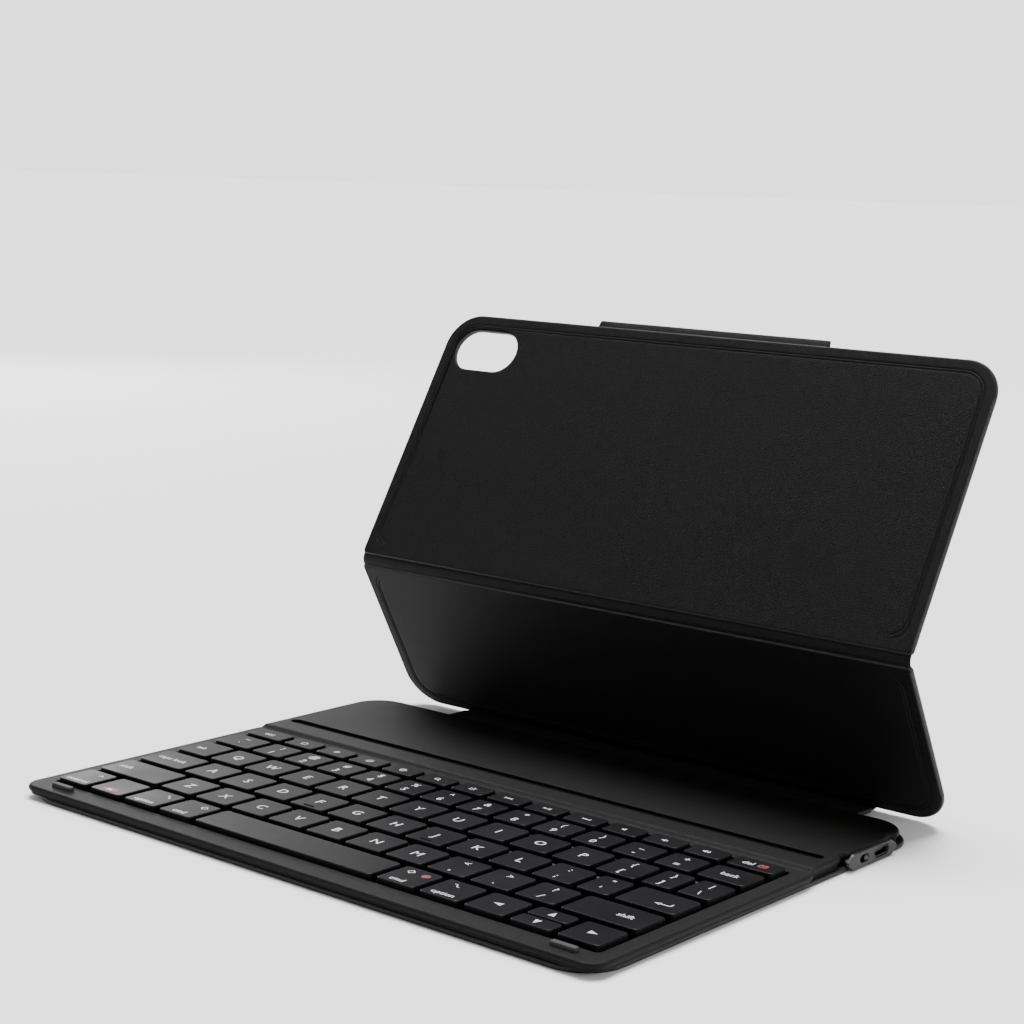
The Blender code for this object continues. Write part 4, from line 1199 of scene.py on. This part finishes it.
def build_letter_keys():
    """Letter keys and the space bar, each on its own slide."""
    for letter in "".join(LETTER_ROWS):
        node = f"key_{letter}"
        legends = single_key(node, letter in "fj")
        legends.text(letter.upper(), *middle_of(cell_of(node)), LETTER_HEIGHT)
        legends.finish(f"{node}_legend", node)
    single_key("key_space")


def build_number_keys():
    """Number row."""
    cells = row_cells("number_keys", [EDGE_KEY_WIDTH] + [SMALL_KEY_WIDTH] * 12 + [0])
    legends = bank_piece("number_keys", cells, [row_web(cells, WEB_HALF_WIDTH)])
    below = "`1234567890-="
    above = "~!@#$%^&*()_+"
    for cell, first, second in zip(cells, below, above):
        draw_pair(legends, cell, first, second)
    legends.text("back", *middle_of(cells[-1]), WORD_HEIGHT)
    legends.finish("number_keys_legends", "number_keys")


def build_function_keys():
    """Function row with plain generic marks."""
    cells = row_cells("function_keys", [EDGE_KEY_WIDTH] + [SMALL_KEY_WIDTH] * 12 + [0])
    legends = bank_piece("function_keys", cells, [row_web(cells, THIN_WEB_HALF_WIDTH)])
    legends.text("esc", *middle_of(cells[0]), WORD_HEIGHT)
    marks = ((draw_house,), (draw_sun, 0.6 * MM), (draw_sun, 0.85 * MM), (draw_globe,), (draw_lens,),
             (draw_key_light,), (draw_skip, -1), (draw_play,), (draw_skip, 1), (draw_speaker, 0),
             (draw_speaker, 1), (draw_speaker, 2))
    for cell, (mark, *details) in zip(cells[1:], marks):
        mark(legends, *middle_of(cell), *details)
    x, y = middle_of(cells[-1])
    legends.text("del", x - 2.6 * MM, y, WORD_HEIGHT)
    pill = rounded_rectangle(x + 1.0 * MM, y - 1.5 * MM, x + 4.6 * MM, y + 1.5 * MM, [1.0 * MM] * 4, 4)
    legends.plate(pill, 1)
    legends.ring(x + 2.8 * MM, y, 0.8 * MM, 0.3 * MM)
    legends.finish("function_keys_legends", "function_keys")


def build_left_modifiers():
    """Tab, caps lock and left shift."""
    cells = []
    for row in LETTER_ROWS:
        node = f"key_{row[0]}"
        low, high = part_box(node)
        cells.append((-FIELD_HALF, low.y, edge_before(node), high.y))
    left, right = LEFT_UPRIGHT
    upright = (left, cells[-1][1] + WEB_INSET, right, cells[0][3] - WEB_INSET)
    legends = bank_piece("left_modifier_keys", cells, [upright])
    for cell, word in zip(cells, ("tab", "caps lock", "shift")):
        legends.text(word, cell[0] + 3.2 * MM, middle_of(cell)[1], WORD_HEIGHT, 'LEFT')
    legends.finish("left_modifier_keys_legends", "left_modifier_keys")


def build_right_side():
    """Punctuation, return and right shift."""
    top = row_cells("key_p", [KEY_WIDTH, BRACKET_WIDTH, 0], edge_after("key_p"))
    home = row_cells("key_l", [KEY_WIDTH, QUOTE_WIDTH, 0], edge_after("key_l"))
    bottom = row_cells("key_m", [KEY_WIDTH, KEY_WIDTH, KEY_WIDTH, 0], edge_after("key_m"))
    inset = 5.8 * MM
    left, right = RIGHT_UPRIGHT
    upright = (left, bottom[0][1] + inset, right, top[0][3] - inset)
    webs = [row_web(cells, WEB_HALF_WIDTH) for cells in (top, home, bottom)]
    legends = bank_piece("right_side_keys", top + home + bottom, webs + [upright])
    for cells, below, above in ((top, "[]\\", "{}|"), (home, ";'", ":\""), (bottom, ",./", "<>?")):
        for cell, first, second in zip(cells, below, above):
            draw_pair(legends, cell, first, second, SIDE_SYMBOL_SHIFT)
    x = home[-1][2] - 8.0 * MM
    y = middle_of(home[-1])[1] - 2.4 * MM
    legends.line(x, y, [(3, 2), (3, 0), (-1.6, 0)], 0.45)
    triangle(legends, x - 1.6 * MM, y, 1.3 * MM, 180)
    shift_key = bottom[-1]
    legends.text("shift", shift_key[2] - 6.4 * MM, middle_of(shift_key)[1], WORD_HEIGHT, 'RIGHT')
    legends.finish("right_side_keys_legends", "right_side_keys")


def draw_corner_key(legends, cell, word, mark):
    """A modifier key: its word at the front and a small mark at the rear right."""
    x, y = middle_of(cell)
    legends.text(word, x, y - 4.6 * MM, WORD_HEIGHT * 0.95)
    mark(legends, cell[2] - 4.4 * MM, y + 3.6 * MM)


def draw_caret(legends, x, y):
    """Control mark."""
    legends.line(x, y, [(-0.9, -0.5), (0, 0.6), (0.9, -0.5)], 0.34)


def draw_step(legends, x, y):
    """Alternate mark: a stepped line."""
    legends.line(x, y, [(-1.5, 0.9), (-0.5, 0.9), (0.6, -0.9), (1.5, -0.9)], 0.34)


def draw_diamond(legends, x, y):
    """Command mark: an open diamond."""
    legends.line(x, y, [(-1.35, 0), (0, 1.35), (1.35, 0), (0, -1.35), (-1.35, 0)], 0.34)


def build_bottom_keys():
    """Modifiers on both sides of the space bar, and the arrows."""
    left = row_cells("key_space", [CONTROL_WIDTH] + [KEY_WIDTH] * 3)
    legends = bank_piece("bottom_left_keys", left, [row_web(left, WEB_HALF_WIDTH)])
    draw_corner_key(legends, left[0], "control", draw_caret)
    x, y = middle_of(left[1])
    pill = rounded_rectangle(x - 3.4 * MM, y - 6.3 * MM, x + 3.4 * MM, y - 3.1 * MM, [1.5 * MM] * 4, 5)
    legends.plate(pill, 1)
    legends.text("fn", x, y - 4.75 * MM, WORD_HEIGHT * 0.9, lift=0.02 * MM)
    draw_corner_key(legends, left[2], "option", draw_step)
    draw_corner_key(legends, left[3], "cmd", draw_diamond)
    legends.finish("bottom_left_keys_legends", "bottom_left_keys")

    right = row_cells("key_space", [KEY_WIDTH] * 4 + [0], edge_after("key_space"))
    x0, y0, x1, y1 = right[3]
    half = (y0 + y1) / 2
    down = (x0, y0, x1, half - ARROW_SPLIT / 2)
    up = (x0, half + ARROW_SPLIT / 2, x1, y1)
    caps = right[:3] + [down, up, right[4]]
    legends = bank_piece("bottom_right_keys", caps, [row_web(right, WEB_HALF_WIDTH)])
    x, y = middle_of(right[0])
    legends.text("cmd", x - 0.9 * MM, y - 4.6 * MM, WORD_HEIGHT * 0.95)
    draw_diamond(legends, x - 2.6 * MM, y + 3.6 * MM)
    legends.disc(x + 3.8 * MM, y + 3.2 * MM, 1.6 * MM, 1)
    x, y = middle_of(right[1])
    legends.text("option", x, y - 4.6 * MM, WORD_HEIGHT * 0.95)
    draw_step(legends, x - 1.6 * MM, y + 3.6 * MM)
    size = 1.75 * MM
    for cell, heading in ((right[2], 180), (down, 270), (up, 90), (right[4], 0)):
        triangle(legends, *middle_of(cell), size, heading)
    legends.finish("bottom_right_keys_legends", "bottom_right_keys")


# ---------------------------------------------------------------- scene

def dress_inner_parts():
    """Finishes of the CAD nodes that stay as they are."""
    finishes = {
        "membrane": BED_PLASTIC,
        "key_plate": INNER_STEEL,
        "battery": INNER_STEEL,
        "groove_magnet": INNER_STEEL,
        "closure_plate": INNER_STEEL,
        "control_board": BOARD_FILL,
        "usb_port": PORT_STEEL,
        "power_switch": SWITCH_PLASTIC,
    }
    for name, material in finishes.items():
        dress_cad_node(name, material)


def build_floor():
    """Pale floor, which isn't part of the object."""
    mesh = bmesh.new()
    reach = FLOOR_REACH
    corners = [(-reach, -reach), (reach, -reach), (reach, reach), (-reach, reach)]
    mesh.faces.new([mesh.verts.new((x, y, -FLOOR_DROP)) for x, y in corners])
    material = new_material("floor", grey(0.86), 0.7, specular=0.2)[0]
    floor = finish_mesh("floor", mesh, [material], weighted=False)


def add_light(name, place, target, size, power):
    """Soft rectangular light that faces a point."""
    data = bpy.data.lights.new(name, 'AREA')
    data.shape = 'RECTANGLE'
    data.size = size[0]
    data.size_y = size[1]
    data.energy = power
    lamp = link_object(name, data)
    lamp.location = place
    lamp.rotation_mode = 'QUATERNION'
    lamp.rotation_quaternion = (Vector(target) - Vector(place)).to_track_quat('-Z', 'Y')
    lamp.visible_camera = False


def build_lights():
    """Surroundings that dim towards the ceiling, a broad sun and a card on each side."""
    world = bpy.data.worlds.new("studio")
    world.use_nodes = True
    tree = world.node_tree
    background = tree.nodes["Background"]
    background.inputs["Strength"].default_value = BACKDROP_STRENGTH
    direction = tree.nodes.new("ShaderNodeTexCoord")
    axes = tree.nodes.new("ShaderNodeSeparateXYZ")
    tree.links.new(direction.outputs["Generated"], axes.inputs["Vector"])
    climb = remap(tree, axes.outputs["Z"], BACKDROP_TOP, CEILING_START, 0.0, 1.0)
    shade = tree.nodes.new("ShaderNodeMix")
    shade.data_type = 'RGBA'
    shade.inputs["A"].default_value = (1, 1, 1, 1)
    shade.inputs["B"].default_value = (CEILING_SHARE, CEILING_SHARE, CEILING_SHARE, 1)
    tree.links.new(climb, shade.inputs["Factor"])
    tree.links.new(shade.outputs["Result"], background.inputs["Color"])
    bpy.context.scene.world = world
    data = bpy.data.lights.new("sun", 'SUN')
    data.energy = SUN_STRENGTH
    data.angle = SUN_SPREAD
    link_object("sun", data).rotation_euler = SUN_TILT
    add_light("left_card", (-1.5, 0.85, 0.5), (-0.1, 0, 0), (0.5, 0.4), 6.0)
    add_light("right_card", (1.0, 0.1, 0.35), (0.12, 0, 0.02), (0.7, 0.3), 4.5)


def build_camera():
    """Camera at the viewing angle of the case."""
    back = Vector((math.sin(AZIMUTH) * math.cos(ELEVATION), -math.cos(AZIMUTH) * math.cos(ELEVATION),
                   math.sin(ELEVATION)))
    right = Vector((math.cos(AZIMUTH), math.sin(AZIMUTH), 0))
    up = back.cross(right)
    right_rolled = right * math.cos(ROLL) + up * math.sin(ROLL)
    up_rolled = up * math.cos(ROLL) - right * math.sin(ROLL)
    data = bpy.data.cameras.new("camera")
    data.lens = LENS
    data.sensor_width = SENSOR
    data.clip_start = 0.05
    data.clip_end = 50
    camera = link_object("camera", data)
    camera.matrix_world = Matrix((
        (right_rolled.x, up_rolled.x, back.x, EYE.x),
        (right_rolled.y, up_rolled.y, back.y, EYE.y),
        (right_rolled.z, up_rolled.z, back.z, EYE.z),
        (0, 0, 0, 1),
    ))
    bpy.context.scene.camera = camera


build_camera()
build_lights()
build_floor()
build_base_slab()
build_deck()
build_end_cap()
build_bumpers()
build_letter_keys()
build_number_keys()
build_function_keys()
build_left_modifiers()
build_right_side()
build_bottom_keys()
build_cover()
dress_inner_parts()
